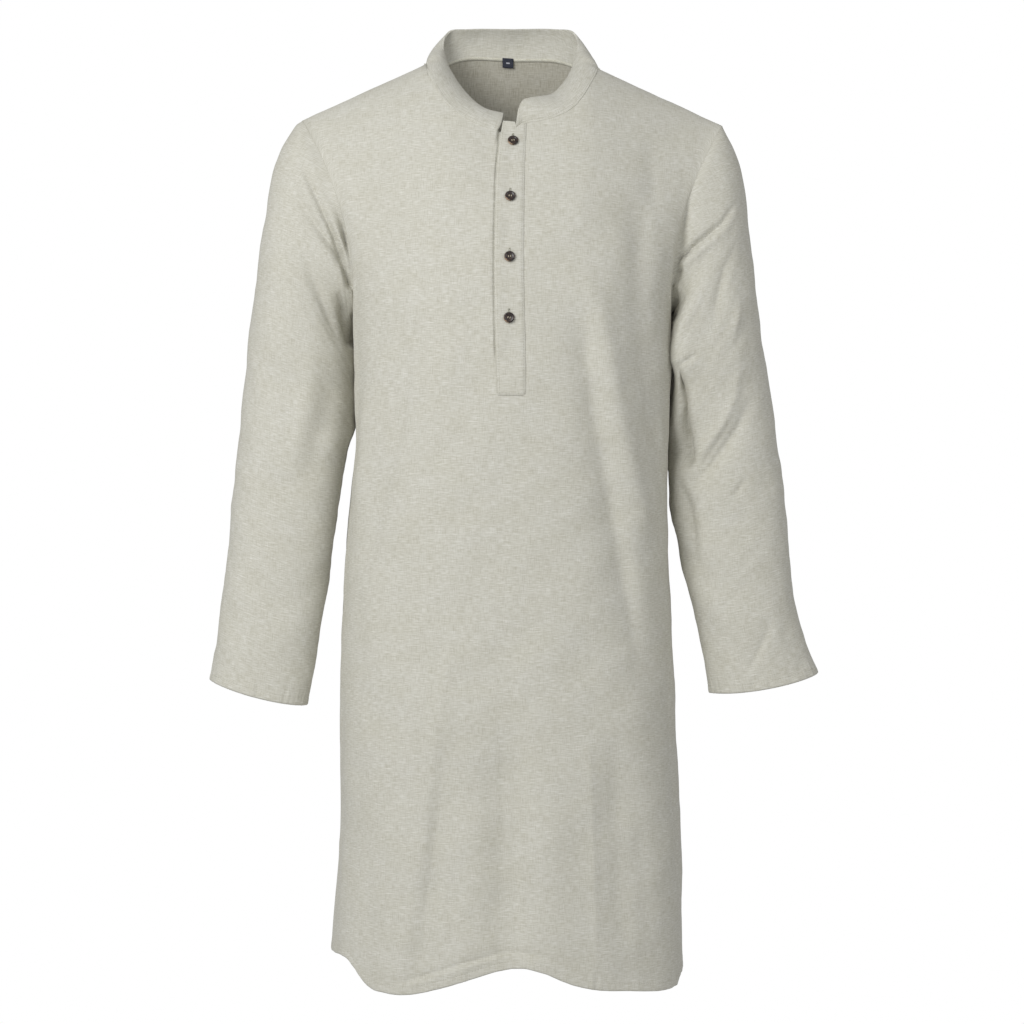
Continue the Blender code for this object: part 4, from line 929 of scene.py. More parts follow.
COLLAR_OVERLAP = 0.0016   # and its lower edge covers this much of them
LEFT_CORNER = (0.0145, 0.0215)    # how far along and how far down each upper corner is cut round
RIGHT_CORNER = (0.0036, 0.0036)
COLLAR_WAVES = (0.0005, 0.03, 0.09)
COLLAR_ROUNDING = 0.0006
COLLAR_ROWS = 22
END_SWINGS = 9.0
END_COLUMNS = 22
NECK_FROM = len(EDGE_TURNS) - 1 + SHOULDER_COLUMNS

neck_columns = slice(NECK_FROM, -NECK_FROM)
left_end, right_end = COLLAR_TOP[-1].swing, COLLAR_TOP[0].swing
swings = np.concatenate([
    np.linspace(left_end, left_end - END_SWINGS, END_COLUMNS),
    np.linspace(left_end - END_SWINGS, right_end + END_SWINGS, 150)[1:-1],
    np.linspace(right_end + END_SWINGS, right_end, END_COLUMNS),
])
base_x = NECK_HALF * np.sin(np.radians(swings))


def round_neck(of_front, of_back):
    """What the neckline has at each swing, from its values on the columns of the front and of the back."""
    of_front, of_back = of_front[neck_columns], of_back[neck_columns][::-1]
    front_x, back_x = front[-1, neck_columns, 0], back[-1, neck_columns, 0][::-1]
    return np.stack([
        np.where(
            np.abs(swings) > 90,
            np.interp(base_x, front_x, of_front[:, axis]), np.interp(base_x, back_x, of_back[:, axis]),
        )
        for axis in range(3)
    ], axis=-1)


base = round_neck(front[-1], back[-1])
base_out = round_neck(front_out[-3], back_out[-3])
base_up = round_neck(front[-1] - front[-3], back[-1] - back[-3])
base_out /= np.linalg.norm(base_out, axis=1, keepdims=True)
base_up /= np.linalg.norm(base_up, axis=1, keepdims=True)
top_x, top_y, top_z, bulge = (
    spline(swings, [point.swing for point in COLLAR_TOP], [getattr(point, name) for point in COLLAR_TOP])
    for name in CollarTop._fields[1:]
)
top = np.stack([top_x, top_y, top_z], axis=-1)
height = np.linalg.norm(top - base, axis=1)
along = lengths_along(((base + top) / 2)[None], 1)[0]
corner = sum(
    down * (1 - np.sqrt(1 - (1 - np.clip(to_end / wide, 0, 1)) ** 2))
    for to_end, (wide, down) in ((along, LEFT_CORNER), (along[-1] - along, RIGHT_CORNER))
)
share = np.linspace(0.03, 1, COLLAR_ROWS)[:, None] * (1 - corner / height)
stand = base + (top - base) * share[..., None]
stand_out = grid_normals(stand)
lifted = COLLAR_PROUD * (1 - ease(share, 0, 0.6)) + crumple(along, share * 0.035, 15, *COLLAR_WAVES)
stand += stand_out * (bulge * 4 * share * (1 - share) + lifted)[..., None]
foot = [base - base_up * COLLAR_OVERLAP + base_out * COLLAR_PROUD, base + base_out * COLLAR_PROUD]
collar = np.concatenate([np.stack(foot), stand])
collar_u = np.broadcast_to(along - along[len(along) // 2], collar.shape[:2])
collar_out = grid_normals(collar)
collar_sheet = (collar, collar_u, lengths_along(collar, 0))
collar_piece = sewn_piece("collar_band", collar_sheet, COLLAR_CLOTH, (LINEN_OUT,), ["collar"])


def rounded(piece, width):
    """Rounds the edges of a piece's thickness."""
    rounding = piece.modifiers.new("rounding", "BEVEL")
    rounding.width = width
    rounding.segments = 2
    rounding.angle_limit = math.radians(50)


rounded(collar_piece, COLLAR_ROUNDING)

# ---- The neck tape ----
# A narrow bias tape of the same linen that covers the seam of the band inside the back, from one shoulder
# seam to the other. It is sewn down along both edges. It is painted paler than the panels: a painted
# highlight along the seam, where its rounded middle catches the light.
TAPE_WIDE = 0.0042
TAPE_CLOTH = 0.0005
TAPE_LIFT = 0.0009         # its middle is rounded off the panel by this
TAPE_OFF_PANEL = 0.0010
at_back = np.abs(swings) < 86
tape_across = np.linspace(-0.62, 0.38, 7)[:, None, None] * TAPE_WIDE
tape_lift = TAPE_OFF_PANEL + TAPE_LIFT * np.sin(np.linspace(0, math.pi, 7))[:, None, None]
tape = base[at_back] + base_up[at_back] * tape_across - base_out[at_back] * tape_lift
tape_sheet = (tape[::-1], np.broadcast_to(along[at_back], tape.shape[:2]), lengths_along(tape, 0))
# Its paler tint is a painted highlight along the seam.
tape_linen_painted_highlight = linen("linen tape, painted highlight", turn=math.pi / 4, tint=(1.16, 1.16, 1.12, 1.0))
tape_piece = sewn_piece("neck_tape", tape_sheet, TAPE_CLOTH, (tape_linen_painted_highlight,), ["collar"])

# ---- The placket ----
# Two folded strips of linen close the slit. The upper one is sewn to the wearer's left edge of it and buttons
# over the under one, which is sewn to the right edge. Below the slit both are sewn down, through the front.
PLACKET_TOP_Z = -0.0692
PLACKET_BOTTOM_Z = -0.3655
PLACKET_SLOPE = 0.10
BAND_END_X = 0.0043        # left of this the upper strip ends at the band, and right of it in a free slope
BAND_END_GAP = 0.0006
UNDER_SHIFT_X = 0.0010
STRIP_CLOTH = 0.0013
STRIP_LAID = 0.0004
STRIP_OPEN_LIFT = 0.0014   # the free edge stands this much off the front
STRIP_STITCH = 0.0022      # from each edge to its stitches
BUTTON_PITCH = 0.0640      # the free edge stands up a little more between the buttons
SEWN_SIDE_DROP = 0.0011    # the sewn side and the sewn end lie flat
SEWN_END_DROP = 0.0009
SEWN_WIDE = 0.0030
UNDER_SUNK = 0.0006
STRIP_ROUNDING = 0.0004
STRIP_WAVES = (0.00018, 0.010, 0.040)
STRIP_ROWS = 110
STRIP_COLUMNS = 20
PAST_TOP_ROWS = 8          # above a panel's top, its last rows give the slope


def on_panel(panel, x, z):
    """The point and outward normal of a panel at an x and a height near its middle, or just above its top."""
    middle = panel[:, neck_columns] if panel is front else panel[:, neck_columns][:, ::-1]
    line = np.array([[np.interp(x, row[:, 0], row[:, axis]) for axis in range(3)] for row in middle])
    r = int(np.searchsorted(line[:, 2], z, side="right")) - 1
    low, high = (len(line) - PAST_TOP_ROWS, len(line) - 1) if r >= len(line) - 1 else (r, r + 1)
    share = (z - line[low, 2]) / (line[high, 2] - line[low, 2])
    point = line[low] + (line[high] - line[low]) * share
    slope_low, slope_high = max(0, low - 2), min(len(line) - 1, high + 2)
    out = np.cross((1.0, 0.0, 0.0), line[slope_high] - line[slope_low])
    out *= -np.sign(out[1]) if panel is front else np.sign(out[1])
    return point, out / np.linalg.norm(out)


def laid_patch(panel, xs, zs, lift):
    """A grid of points on a panel, moved off it by lift; xs, zs and lift are grids."""
    spots = [[on_panel(panel, x, z) for x, z in zip(*row)] for row in zip(xs, zs)]
    places, outs = (np.array([[spot[k] for spot in row] for row in spots]) for k in (0, 1))
    return places + outs * np.broadcast_to(lift, xs.shape)[..., None]


down = np.linspace(0, 1, STRIP_ROWS)[:, None]
across = np.linspace(0, 1, STRIP_COLUMNS)[None, :]
strip_z = PLACKET_BOTTOM_Z + (PLACKET_TOP_Z - PLACKET_BOTTOM_Z) * down
right_x, left_x = (column(PLACKET_EDGES, name, strip_z) for name in ("right_x", "left_x"))
strip_x = right_x + (left_x - right_x) * across
neck_z = np.interp(strip_x[-1], front[-1, neck_columns, 0], front[-1, neck_columns, 2])
sloped_z = PLACKET_TOP_Z - PLACKET_SLOPE * (strip_x[-1] - strip_x[-1, 0])
strip_top = np.where(strip_x[-1] > BAND_END_X, neck_z - BAND_END_GAP, sloped_z)
strip_zs = PLACKET_BOTTOM_Z + (strip_top - PLACKET_BOTTOM_Z) * down
free = (1 - ease(across, 0.0, 0.55)) * ease(strip_zs, SLOT_BOTTOM_Z - 0.004, SLOT_BOTTOM_Z + 0.02)
free *= 1 - 0.5 * ease(strip_zs, -0.10, -0.075)
ripple = 1 + 0.35 * np.cos(2 * math.pi * strip_zs / BUTTON_PITCH)
strip_lift = STRIP_LAID + STRIP_CLOTH + STRIP_OPEN_LIFT * free * ripple
for from_edge in (strip_x - right_x, left_x - strip_x):
    strip_lift -= STITCH_FURROW * hill(from_edge - STRIP_STITCH, 0.0009)
strip_lift -= SEWN_SIDE_DROP * (1 - ease(left_x - strip_x, 0.0, SEWN_WIDE))
strip_lift -= SEWN_END_DROP * (1 - ease(strip_zs - PLACKET_BOTTOM_Z, 0.0, SEWN_WIDE))
strip_lift += crumple(strip_x, strip_zs, 16, *STRIP_WAVES)
strip = laid_patch(front, strip_x, strip_zs, strip_lift)
under_zs = np.minimum(strip_zs, neck_z.min() - BAND_END_GAP)
under = laid_patch(front, strip_x[::3] + UNDER_SHIFT_X, under_zs[::3], -CLOTH - UNDER_SUNK)
# The strips are mapped beside the panels' own threads, so that their weave doesn't continue the front's.
strip_piece, under_piece = (
    sewn_piece(name, sheet, STRIP_CLOTH, (LINEN_OUT,), [node_name])
    for name, sheet, node_name in (
        ("placket_upper", (strip, strip_x + 0.37, strip_zs + 0.2), "placket_top"),
        ("placket_lower", (under, strip_x[::3] + 0.5, strip_zs[::3]), "placket_under"),
    )
)
rounded(strip_piece, STRIP_ROUNDING)
rounded(under_piece, STRIP_ROUNDING)

# ---- The buttons ----
# Four buttons of dark mottled horn, turned with a rolled rim and a sunk middle and drilled with four holes.
# Each is sewn to the under strip with two bars of pale thread, doubled, and comes through an upright worked
# hole in the upper strip.
BUTTON_RADIUS = 0.0057
BUTTON_THICK = 0.0024
BUTTON_DISH = 0.0007
BUTTON_SIDES = 56
BUTTON_SEAT = 0.0024
HOLE_RADIUS = 0.00055
HOLE_SPREAD = 0.0016
HOLE_SIDES = 14
THREAD_RADIUS = 0.00032
ButtonPlace = namedtuple("ButtonPlace", "node x z turn")
BUTTONS = [ButtonPlace(*row) for row in (
    ("button_1", 0.0011, -0.093, 8),
    ("button_2", -0.0018, -0.1545, -5),
    ("button_3", -0.0025, -0.2195, 4),
    ("button_4", -0.0031, -0.2838, -9),
)]
THREAD = srgb(184, 182, 167)
HORN_DARK = srgb(34, 27, 26)
HORN_BROWN = srgb(76, 58, 50)
HORN_AMBER = srgb(158, 130, 104)


def horn():
    """Dark horn, with brown clouds and one paler, amber edge. Its map is the disc, from -1 to 1 each way."""
    material, tree, shader = blank_material("horn")
    disc = node(tree, "ShaderNodeUVMap", uv_map="disc").outputs["UV"]
    clouds = node(tree, "ShaderNodeTexNoise", {"Scale": 1.7, "Detail": 4, "Distortion": 1.2, "Vector": disc})
    clouds = clouds.outputs["Fac"]
    from_edge = node(tree, "ShaderNodeVectorMath", {0: disc, 1: (0.42, 0.40, 0)}, operation="DISTANCE")
    swirled = {0: clouds, 1: 0.5, 2: from_edge.outputs["Value"]}
    swirl = node(tree, "ShaderNodeMath", swirled, operation="MULTIPLY_ADD").outputs["Value"]
    amber = node(tree, "ShaderNodeMapRange", {"From Min": 1.58, "From Max": 1.74, "Value": swirl})
    base = ramp(tree, clouds, 0.42, 0.72, HORN_DARK, HORN_BROWN)
    base = mix(tree, "MIX", amber.outputs["Result"], base, HORN_AMBER)
    tree.links.new(base, shader.inputs["Base Color"])
    rough = node(tree, "ShaderNodeMapRange", {"To Min": 0.28, "To Max": 0.42, "Value": clouds})
    tree.links.new(rough.outputs["Result"], shader.inputs["Roughness"])
    turning = node(tree, "ShaderNodeTexNoise", {"Scale": 9, "Vector": disc}).outputs["Fac"]
    roughen(tree, shader, turning, 0.15, 0.0001)
    return material


def turned_disc():
    """The button as one mesh: a turned profile, less the four holes."""
    rim, thick, dish = BUTTON_RADIUS, BUTTON_THICK, BUTTON_DISH
    profile = [
        (0.0, thick - dish), (0.35 * rim, thick - dish), (0.52 * rim, thick - 0.92 * dish),
        (0.66 * rim, thick - 0.45 * dish), (0.76 * rim, thick - 0.06 * dish), (0.83 * rim, thick),
        (0.90 * rim, thick - 0.06 * dish), (0.96 * rim, 0.82 * thick), (rim, 0.62 * thick),
        (rim, 0.42 * thick), (0.95 * rim, 0.2 * thick), (0.80 * rim, 0.04 * thick),
        (0.6 * rim, 0.0), (0.0, 0.0),
    ]
    outline = bpy.data.meshes.new("button_outline")
    outline.from_pydata([(x, 0, z) for x, z in profile], [(i, i + 1) for i in range(len(profile) - 1)], [])
    disc = bpy.data.objects.new("button_turned", outline)
    turning = disc.modifiers.new("turned", "SCREW")
    turning.steps = turning.render_steps = BUTTON_SIDES
    turning.use_merge_vertices = True
    turning.merge_threshold = 0.000005
    drill = bpy.data.meshes.new("button_drill")
    holes = bmesh.new()
    for quarter in range(4):
        angle = math.radians(45 + 90 * quarter)
        place = Matrix.Translation((HOLE_SPREAD * math.cos(angle), HOLE_SPREAD * math.sin(angle), thick / 2))
        bmesh.ops.create_cone(
            holes, cap_ends=True, segments=HOLE_SIDES, radius1=HOLE_RADIUS, radius2=HOLE_RADIUS,
            depth=2 * thick, matrix=place,
        )
    holes.to_mesh(drill)
    holes.free()
    cutter = bpy.data.objects.new("button_drill", drill)
    drilled = disc.modifiers.new("drilled", "BOOLEAN")
    drilled.operation = "DIFFERENCE"
    drilled.object = cutter
    for part in (disc, cutter):
        bpy.context.scene.collection.objects.link(part)
    made = bpy.data.meshes.new_from_object(disc.evaluated_get(bpy.context.evaluated_depsgraph_get()))
    for part in (disc, cutter):
        bpy.data.objects.remove(part, do_unlink=True)
    layer = made.uv_layers.new(name="disc")
    spots = np.array([made.vertices[loop.vertex_index].co[:2] for loop in made.loops]) / BUTTON_RADIUS
    layer.data.foreach_set("uv", spots.astype(np.float32).ravel())
    made.shade_smooth()
    made.set_sharp_from_angle(angle=math.radians(50))
    return made


def strand(path, radius, sides=8):
    """A thread along a path, with rounded ends, as points and faces."""
    path = np.asarray(path, float)
    ways = np.gradient(path, axis=0)
    ways /= np.linalg.norm(ways, axis=1, keepdims=True)
    first = np.cross(ways[0], (0.31, 0.52, 0.79))
    points, faces = [], []
    widths = np.full(len(path), radius)
    widths[0] = widths[-1] = radius * 0.3
    for spot, way, width in zip(path, ways, widths):
        first = first - way * (first @ way)
        first /= np.linalg.norm(first)
        second = np.cross(way, first)
        for k in range(sides):
            angle = 2 * math.pi * k / sides
            points.append(spot + width * (first * math.cos(angle) + second * math.sin(angle)))
    for r in range(len(path) - 1):
        for k in range(sides):
            n = (k + 1) % sides
            faces.append((r * sides + k, r * sides + n, (r + 1) * sides + n, (r + 1) * sides + k))
    faces.append(tuple(range(sides))[::-1])
    faces.append(tuple((len(path) - 1) * sides + k for k in range(sides)))
    return points, faces


def thread_material(name, colour):
    """Spun thread: a pale colour with darker twists."""
    material, tree, shader = blank_material(name, Roughness=0.7)
    place = node(tree, "ShaderNodeTexCoord").outputs["Object"]
    fibres = node(tree, "ShaderNodeTexNoise", {"Scale": 1600, "Vector": place}).outputs["Fac"]
    dark = tuple(0.72 * level for level in colour[:3]) + (1.0,)
    tree.links.new(ramp(tree, fibres, 0.35, 0.65, dark, colour), shader.inputs["Base Color"])
    roughen(tree, shader, fibres, 0.4, 0.0002)
    return material


def joined(name, strands):
    """Several strands as one mesh."""
    points, faces = [], []
    for strand_points, strand_faces in strands:
        faces += [tuple(len(points) + i for i in face) for face in strand_faces]
        points += strand_points
    mesh = bpy.data.meshes.new(name)
    mesh.from_pydata(points, [], faces)
    mesh.shade_smooth()
    return mesh


def set_down(name, mesh, frame_at, material, node_name):
    """A small hard piece, its mesh moved to its place."""
    mesh.transform(frame_at)
    mesh.materials.clear()
    mesh.materials.append(material)
    return placed(name, mesh, [node_name])


def stood_on(panel, x, z, lift):
    """The place and turn of a small piece that stands on a panel, moved off it by lift."""
    spot, out = on_panel(panel, x, z)
    z_way = Vector(out)
    x_way = Vector((0, 0, 1)).cross(z_way).normalized()
    upright = Matrix((x_way, z_way.cross(x_way), z_way)).transposed().to_4x4()
    return Matrix.Translation(spot + out * lift) @ upright


def thread_bars():
    """Two doubled bars of thread over a button's dish, each from one of its holes to another."""
    bars, half = [], HOLE_SPREAD / math.sqrt(2)
    reach = np.linspace(-1, 1, 11)
    rise = BUTTON_THICK - BUTTON_DISH + 0.0004 * (1 - reach**4) - 0.0012 * np.abs(reach) ** 6
    for bar_x in (-half, half):
        for beside in (-BAR_APART, BAR_APART):
            path = [(bar_x + beside * (1 - 0.5 * abs(r)), half * r, h) for r, h in zip(reach, rise)]
            bars.append(strand(path, BAR_RADIUS))
    return joined("thread_bars", bars)


def worked_hole():
    """A cord of close stitches round an upright slit."""
    stitches = []
    for k in range(HOLE_STITCHES):
        angle = 2 * math.pi * (k + 0.5) / HOLE_STITCHES
        sine, cosine = math.sin(angle), math.cos(angle)
        on_slit = np.array([math.copysign(HOLE_WIDE, cosine) * abs(cosine) ** 0.5, HOLE_LONG / 2 * sine, 0.0])
        outward = np.array([math.copysign(1, on_slit[0]), 0.35 * sine**15, 0.0]) * HOLE_WIDE
        path = [on_slit + outward * way + (0, 0, lift) for way, lift in HOLE_STITCH_PATH]
        stitches.append(strand(path, HOLE_STITCH_RADIUS, 5))
    return joined("worked_hole", stitches)


HOLE_LONG = 0.0150
HOLE_WIDE = 0.0007
HOLE_UP = 0.0021           # the worked hole's middle lies this much above the button's
HOLE_STITCHES = 54
HOLE_STITCH_RADIUS = 0.00019
HOLE_STITCH_PATH = tuple(zip(np.linspace(-0.6, 0.9, 5), (0.0, 0.00016, 0.0002, 0.00016, 0.0)))
BAR_APART = 0.00022
BAR_RADIUS = THREAD_RADIUS * 0.8

horn_material, bar_thread = horn(), thread_material("button thread", srgb(206, 196, 172))
hole_thread = thread_material("buttonhole thread", THREAD)
disc_mesh = turned_disc()
for place in BUTTONS:
    seat = stood_on(front, place.x, place.z, BUTTON_SEAT)
    set_down(place.node + "_horn", disc_mesh.copy(), seat, horn_material, place.node)
    turn = seat @ Matrix.Rotation(math.radians(place.turn), 4, "Z")
    set_down(place.node + "_thread", thread_bars(), turn, bar_thread, place.node)
    at_hole = stood_on(front, place.x, place.z + HOLE_UP, STRIP_LAID + STRIP_CLOTH + 0.0001)
    set_down(place.node + "_worked_hole", worked_hole(), at_hole, hole_thread, "placket_top")

# ---- The label ----
# A small woven tab of dark navy tape, caught in the seam of the band at the back. It bears nothing but a
# plain pale dash.
LABEL_WIDE = 0.0122
LABEL_X = -0.0045
LABEL_TOP_Z = 0.0192
LABEL_DEEP = 0.0098
LABEL_CLOTH = 0.0006
LABEL_TILT = 0.07
LABEL_OFF = 0.0009         # from the back's inner face to its top, and this much more to its foot
LABEL_SWING = 0.0012
NAVY = srgb(35, 38, 49)
NAVY_PALE = srgb(62, 66, 80)
DASH = srgb(196, 198, 206)


def tape_material():
    """Close-woven tape: fine ribs across, and a plain pale dash in the middle."""
    material, tree, shader = blank_material("navy tape", Roughness=0.75)
    rib = threads(tree, 300, 3600, 1.0)
    cloth = ramp(tree, rib, 0.3, 0.7, NAVY, NAVY_PALE)
    uv = node(tree, "ShaderNodeUVMap", uv_map="thread").outputs["UV"]
    split = node(tree, "ShaderNodeSeparateXYZ", {"Vector": uv})
    inside = []
    for axis, half in (("X", 0.0019), ("Y", 0.0006)):
        near = node(tree, "ShaderNodeMath", {0: split.outputs[axis]}, operation="ABSOLUTE")
        within = node(tree, "ShaderNodeMath", {0: near.outputs["Value"], 1: half}, operation="LESS_THAN")
        inside.append(within.outputs["Value"])
    both = node(tree, "ShaderNodeMath", {0: inside[0], 1: inside[1]}, operation="MULTIPLY").outputs["Value"]
    tree.links.new(mix(tree, "MIX", both, cloth, DASH), shader.inputs["Base Color"])
    roughen(tree, shader, rib, 0.6, 0.0002)
    return material


label_across = np.linspace(0.5, -0.5, 15) * LABEL_WIDE
label_down = np.linspace(-1, 0, 12) * LABEL_DEEP
label_xs, label_zs = np.meshgrid(LABEL_X + label_across, LABEL_TOP_Z + label_down)
label_swing = LABEL_SWING * ease(-label_down, 0.0, LABEL_DEEP)[:, None]
label_lift = -CLOTH - LABEL_OFF - label_swing * np.ones_like(label_xs)
label = laid_patch(back, label_xs, label_zs - LABEL_TILT * (label_xs - LABEL_X), label_lift)
label_u, label_v = np.meshgrid(label_across, label_down + LABEL_DEEP / 2)
label_sheet = (label, label_u, label_v)
label_piece = sewn_piece("neck_tab", label_sheet, LABEL_CLOTH, (tape_material(),), ["neck_label"], "label")

# ---- The stitching ----
# Single rows of lockstitch in thread of the cloth's own colour: round the hem, the cuffs, the placket and the
# band, and beside the armholes and the shoulder seams, where they hold the seam allowances down.
STITCH_PITCH = 0.0030
STITCH_LONG = 0.0023
STITCH_THICK = 0.00030
STITCH_SUNK = 0.00005


def stitching():
    """A tree that lays a stitch at every pitch along the edges of a mesh, flat to its "out" attribute."""
    tree = bpy.data.node_groups.new("lockstitch", "GeometryNodeTree")
    face = tree.interface
    face.new_socket("Geometry", in_out="INPUT", socket_type="NodeSocketGeometry")
    sockets = {
        label: face.new_socket(label, in_out="INPUT", socket_type=kind).identifier
        for label, kind in (
            ("Pitch", "NodeSocketFloat"), ("Length", "NodeSocketFloat"),
            ("Thickness", "NodeSocketFloat"), ("Thread", "NodeSocketMaterial"),
        )
    }
    face.new_socket("Geometry", in_out="OUTPUT", socket_type="NodeSocketGeometry")
    given = node(tree, "NodeGroupInput").outputs
    path = node(tree, "GeometryNodeMeshToCurve", {"Mesh": given["Geometry"]}).outputs["Curve"]
    spacing = {"Curve": path, "Length": given["Pitch"]}
    spaced = node(tree, "GeometryNodeResampleCurve", spacing, mode="LENGTH").outputs["Curve"]
    stitch = node(tree, "GeometryNodeMeshIcoSphere", {"Radius": 0.5, "Subdivisions": 2}).outputs["Mesh"]
    along = node(tree, "GeometryNodeInputTangent").outputs["Tangent"]
    out = node(tree, "GeometryNodeInputNamedAttribute", {"Name": "out"}, data_type="FLOAT_VECTOR")
    turn = node(tree, "FunctionNodeAlignRotationToVector", {"Vector": along}, axis="X").outputs["Rotation"]
    facing = {"Rotation": turn, "Vector": out.outputs["Attribute"]}
    flat = node(tree, "FunctionNodeAlignRotationToVector", facing, axis="Z", pivot_axis="X")
    wide = node(tree, "ShaderNodeMath", {0: given["Thickness"], 1: 1.35}, operation="MULTIPLY")
    sizes = {"X": given["Length"], "Y": wide.outputs["Value"], "Z": given["Thickness"]}
    size = node(tree, "ShaderNodeCombineXYZ", sizes).outputs["Vector"]
    spread = {"Min": (0.85, 0.85, 0.8), "Max": (1.05, 1.15, 1.1), "Seed": 21}
    uneven = node(tree, "FunctionNodeRandomValue", spread, data_type="FLOAT_VECTOR")
    varied = node(tree, "ShaderNodeVectorMath", {0: size, 1: uneven.outputs["Value"]}, operation="MULTIPLY")
    laid = node(tree, "GeometryNodeInstanceOnPoints", {
        "Points": spaced, "Instance": stitch, "Rotation": flat.outputs["Rotation"],
        "Scale": varied.outputs["Vector"],
    })
    real = node(tree, "GeometryNodeRealizeInstances", {"Geometry": laid.outputs["Instances"]})
    smooth = node(tree, "GeometryNodeSetShadeSmooth", {"Geometry": real.outputs["Geometry"]})
    finish = {"Geometry": smooth.outputs["Geometry"], "Material": given["Thread"]}
    finished = node(tree, "GeometryNodeSetMaterial", finish).outputs["Geometry"]
    node(tree, "NodeGroupOutput", {"Geometry": finished})
    return tree, sockets


def between(grid, row=None, column=None):
    """A line along a grid of points, at a row or a column that may lie between two of its own."""
    at, lines = (row, grid) if column is None else (column, grid.swapaxes(0, 1))
    at = at % (len(lines) - 1)
    low = int(at)
    return lines[low] + (lines[low + 1] - lines[low]) * (at - low)


stitch_tree, stitch_sockets = stitching()
seam_thread = thread_material("seam thread", THREAD)


def stitch_row(name, paths, replaced):
    """One piece of stitching from several paths, each a line of points with its outward ways."""
    points, edges, outs = [], [], []
    for line, out in paths:
        start = len(points)
        points += (line - out * STITCH_SUNK).tolist()
        outs += out.tolist()
        edges += [(start + k, start + k + 1) for k in range(len(line) - 1)]
    mesh = bpy.data.meshes.new(name)
    mesh.from_pydata(points, edges, [])
    ways = mesh.attributes.new("out", "FLOAT_VECTOR", "POINT")
    ways.data.foreach_set("vector", np.array(outs, np.float32).ravel())
    rows = bpy.data.objects.new(name, mesh)
    bpy.context.scene.collection.objects.link(rows)
    laid = rows.modifiers.new("stitches", "NODES")
    laid.node_group = stitch_tree
    for label, value in (
        ("Pitch", STITCH_PITCH), ("Length", STITCH_LONG),
        ("Thickness", STITCH_THICK), ("Thread", seam_thread),
    ):
        laid[stitch_sockets[label]] = value
    made = bpy.data.meshes.new_from_object(rows.evaluated_get(bpy.context.evaluated_depsgraph_get()))
    bpy.data.objects.remove(rows, do_unlink=True)
    return placed(name, made, [replaced])


def line_on(grid, outs, row=None, column=None, part=slice(None)):
    """A stitched line on a sheet: its points and their outward ways."""
    return between(grid, row, column)[part], between(outs, row, column)[part]


hem_row = HEM_STITCH / (FINE_ZONE * HEM_FACING) * (HEM_FINE_ROWS - 1)
above_armpit = slice(HEM_ROWS + 2, None)
SEAM_COLUMN = 3.7      # a place between two columns or rows is their mixture
front_rows = [line_on(front, front_out, row=hem_row)]
back_rows = [line_on(back, back_out, row=hem_row)]
for seam in (SEAM_COLUMN, front.shape[1] - 1 - SEAM_COLUMN):
    front_rows.append(line_on(front, front_out, column=seam, part=above_armpit))
    back_rows.append(line_on(back, back_out, column=seam, part=above_armpit))
for part in (slice(3, NECK_FROM - 3), slice(3 - NECK_FROM, -3)):
    back_rows.append(line_on(back, back_out, row=back.shape[0] - 1.8, part=part))
front_stitches = stitch_row("front_stitches", front_rows, "front")
back_stitches = stitch_row("back_stitches", back_rows, "back")

collar_rows = [
    line_on(collar, collar_out, row=2.2),
    line_on(collar, collar_out, row=collar.shape[0] - 2.3, part=slice(4, -4)),
    line_on(collar, collar_out, column=4.5, part=slice(2, -2)),
    line_on(collar, collar_out, column=collar.shape[1] - 5.5, part=slice(2, -2)),
]
collar_stitches = stitch_row("collar_stitches", collar_rows, "collar")

strip_out = grid_normals(strip)
strip_side = STRIP_STITCH / 0.030 * (STRIP_COLUMNS - 1)
sewn_share = (SLOT_BOTTOM_Z - PLACKET_BOTTOM_Z) / (PLACKET_TOP_Z - PLACKET_BOTTOM_Z)
strip_rows = [
    line_on(strip, strip_out, part=slice(1, -1), **place)
    for place in (
        {"column": STRIP_COLUMNS - 1 - strip_side}, {"column": strip_side},
        {"row": 1.0}, {"row": int(STRIP_ROWS * sewn_share) + 2.0},
    )
]
strip_stitches = stitch_row("placket_stitches", strip_rows, "placket_top")

for side, node_name in ((-1, "sleeve_right"), (1, "sleeve_left")):
    ring = sleeves[side]
    ring_out = np.concatenate([grid_normals(ring[:, :-1], closed=True)] * 2, axis=1)[:, :ring.shape[1]]
    cuff_row = ring.shape[0] - 1 - CUFF_STITCH / (FINE_ZONE * CUFF_FACING) * (SLEEVE_FINE_ROWS - 1)
    # Rings run down from the armhole, so the grid's own normals point inwards.
    sign = 1.0 if np.sum(ring_out[100] * (ring[100] - ring[100].mean(axis=0))) > 0 else -1.0
    cuff_line = line_on(ring, sign * ring_out, row=cuff_row)
    stitch_row(node_name + "_stitches", [cuff_line], node_name)

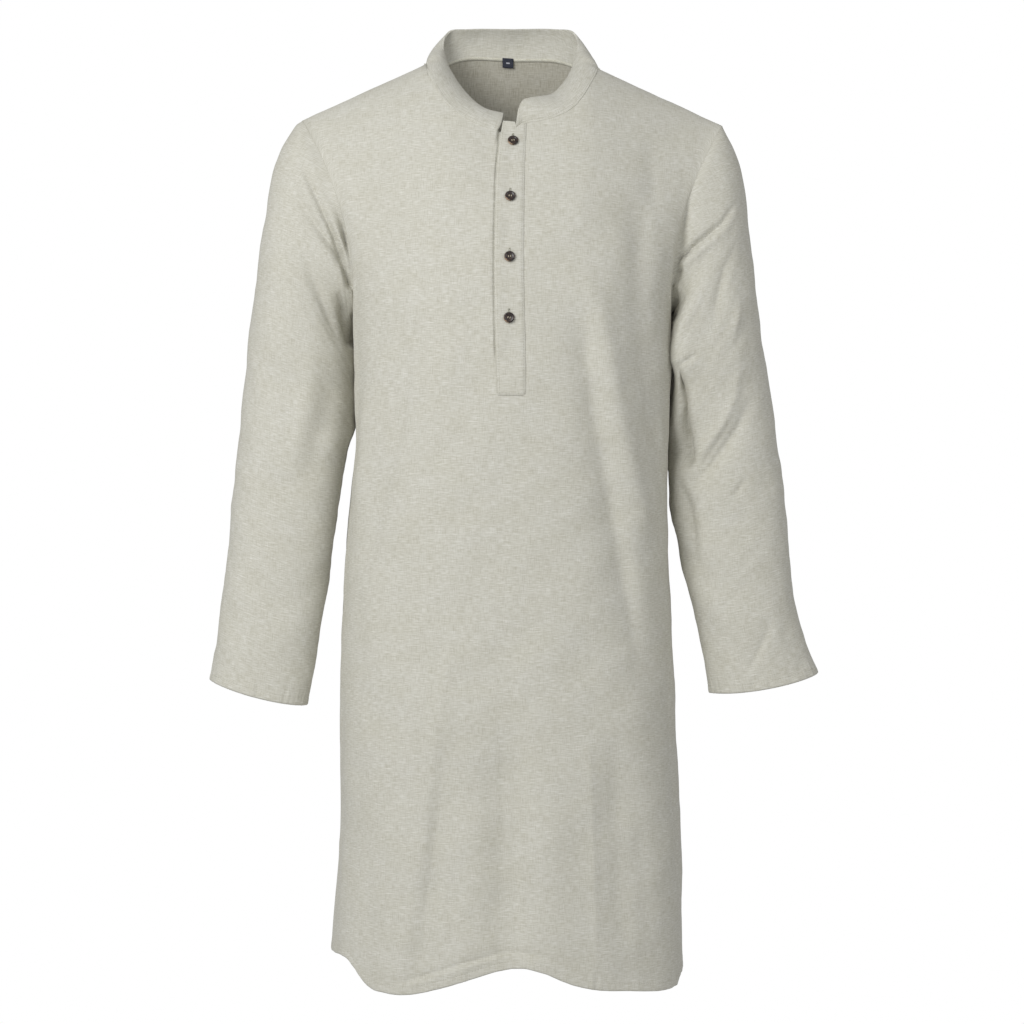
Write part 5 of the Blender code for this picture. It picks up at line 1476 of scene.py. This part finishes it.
# ---- The studio ----
# A plain pale floor and white surroundings. A soft lamp stands in front at the wearer's right, and a weaker
# one at the other side. The camera is level with the middle of the garment.
FLOOR_Z = -1.45
FLOOR_RADIUS = 2.1
CAMERA_Y = -3.2
CAMERA_Z = -0.488
FOCAL_MM = 102.7
SURROUND_LIGHT = 0.39      # the camera sees plain white, and the cloth is lit by this much of it

floor_mesh = bpy.data.meshes.new("floor")
plane = bmesh.new()
bmesh.ops.create_circle(plane, cap_ends=True, segments=64, radius=FLOOR_RADIUS)
plane.to_mesh(floor_mesh)
plane.free()
floor_mesh.transform(Matrix.Translation((0, 0, FLOOR_Z)))
floor_paint, _, paint = blank_material("floor paint", Roughness=0.9, Specular_IOR_Level=0.1)
paint.inputs["Base Color"].default_value = (0.80, 0.80, 0.80, 1)
floor_mesh.materials.append(floor_paint)
floor = bpy.data.objects.new("floor", floor_mesh)
bpy.context.scene.collection.objects.link(floor)

world = bpy.data.worlds.new("studio")
bpy.context.scene.world = world
world.use_nodes = True
air = world.node_tree
air.nodes.clear()
lit, seen = (
    node(air, "ShaderNodeBackground", {"Color": (1, 1, 1, 1), "Strength": strength}).outputs["Background"]
    for strength in (SURROUND_LIGHT, 1.0)
)
ray = node(air, "ShaderNodeLightPath").outputs["Is Camera Ray"]
chosen = node(air, "ShaderNodeMixShader", {0: ray, 1: lit, 2: seen}).outputs["Shader"]
node(air, "ShaderNodeOutputWorld", {"Surface": chosen})

for name, place, aim, power, size in (
    ("key", (-1.35, -2.0, 0.55), (0, 0, -0.30), 39.5, 1.3),
    ("fill", (1.9, -2.4, 0.6), (0, 0, -0.25), 16, 1.8),
):
    light = bpy.data.lights.new(name, "AREA")
    light.energy = power
    light.size = size
    lamp_object = bpy.data.objects.new(name, light)
    lamp_object.location = place
    lamp_object.rotation_euler = (Vector(aim) - Vector(place)).to_track_quat("-Z", "Y").to_euler()
    bpy.context.scene.collection.objects.link(lamp_object)

camera = bpy.data.objects.new("camera", bpy.data.cameras.new("camera"))
camera.data.lens = FOCAL_MM
camera.data.sensor_width = 36
camera.location = (0, CAMERA_Y, CAMERA_Z)
camera.rotation_euler = (math.radians(90), 0, 0)
bpy.context.scene.collection.objects.link(camera)
bpy.context.scene.camera = camera
bpy.context.scene.view_settings.view_transform = "Standard"
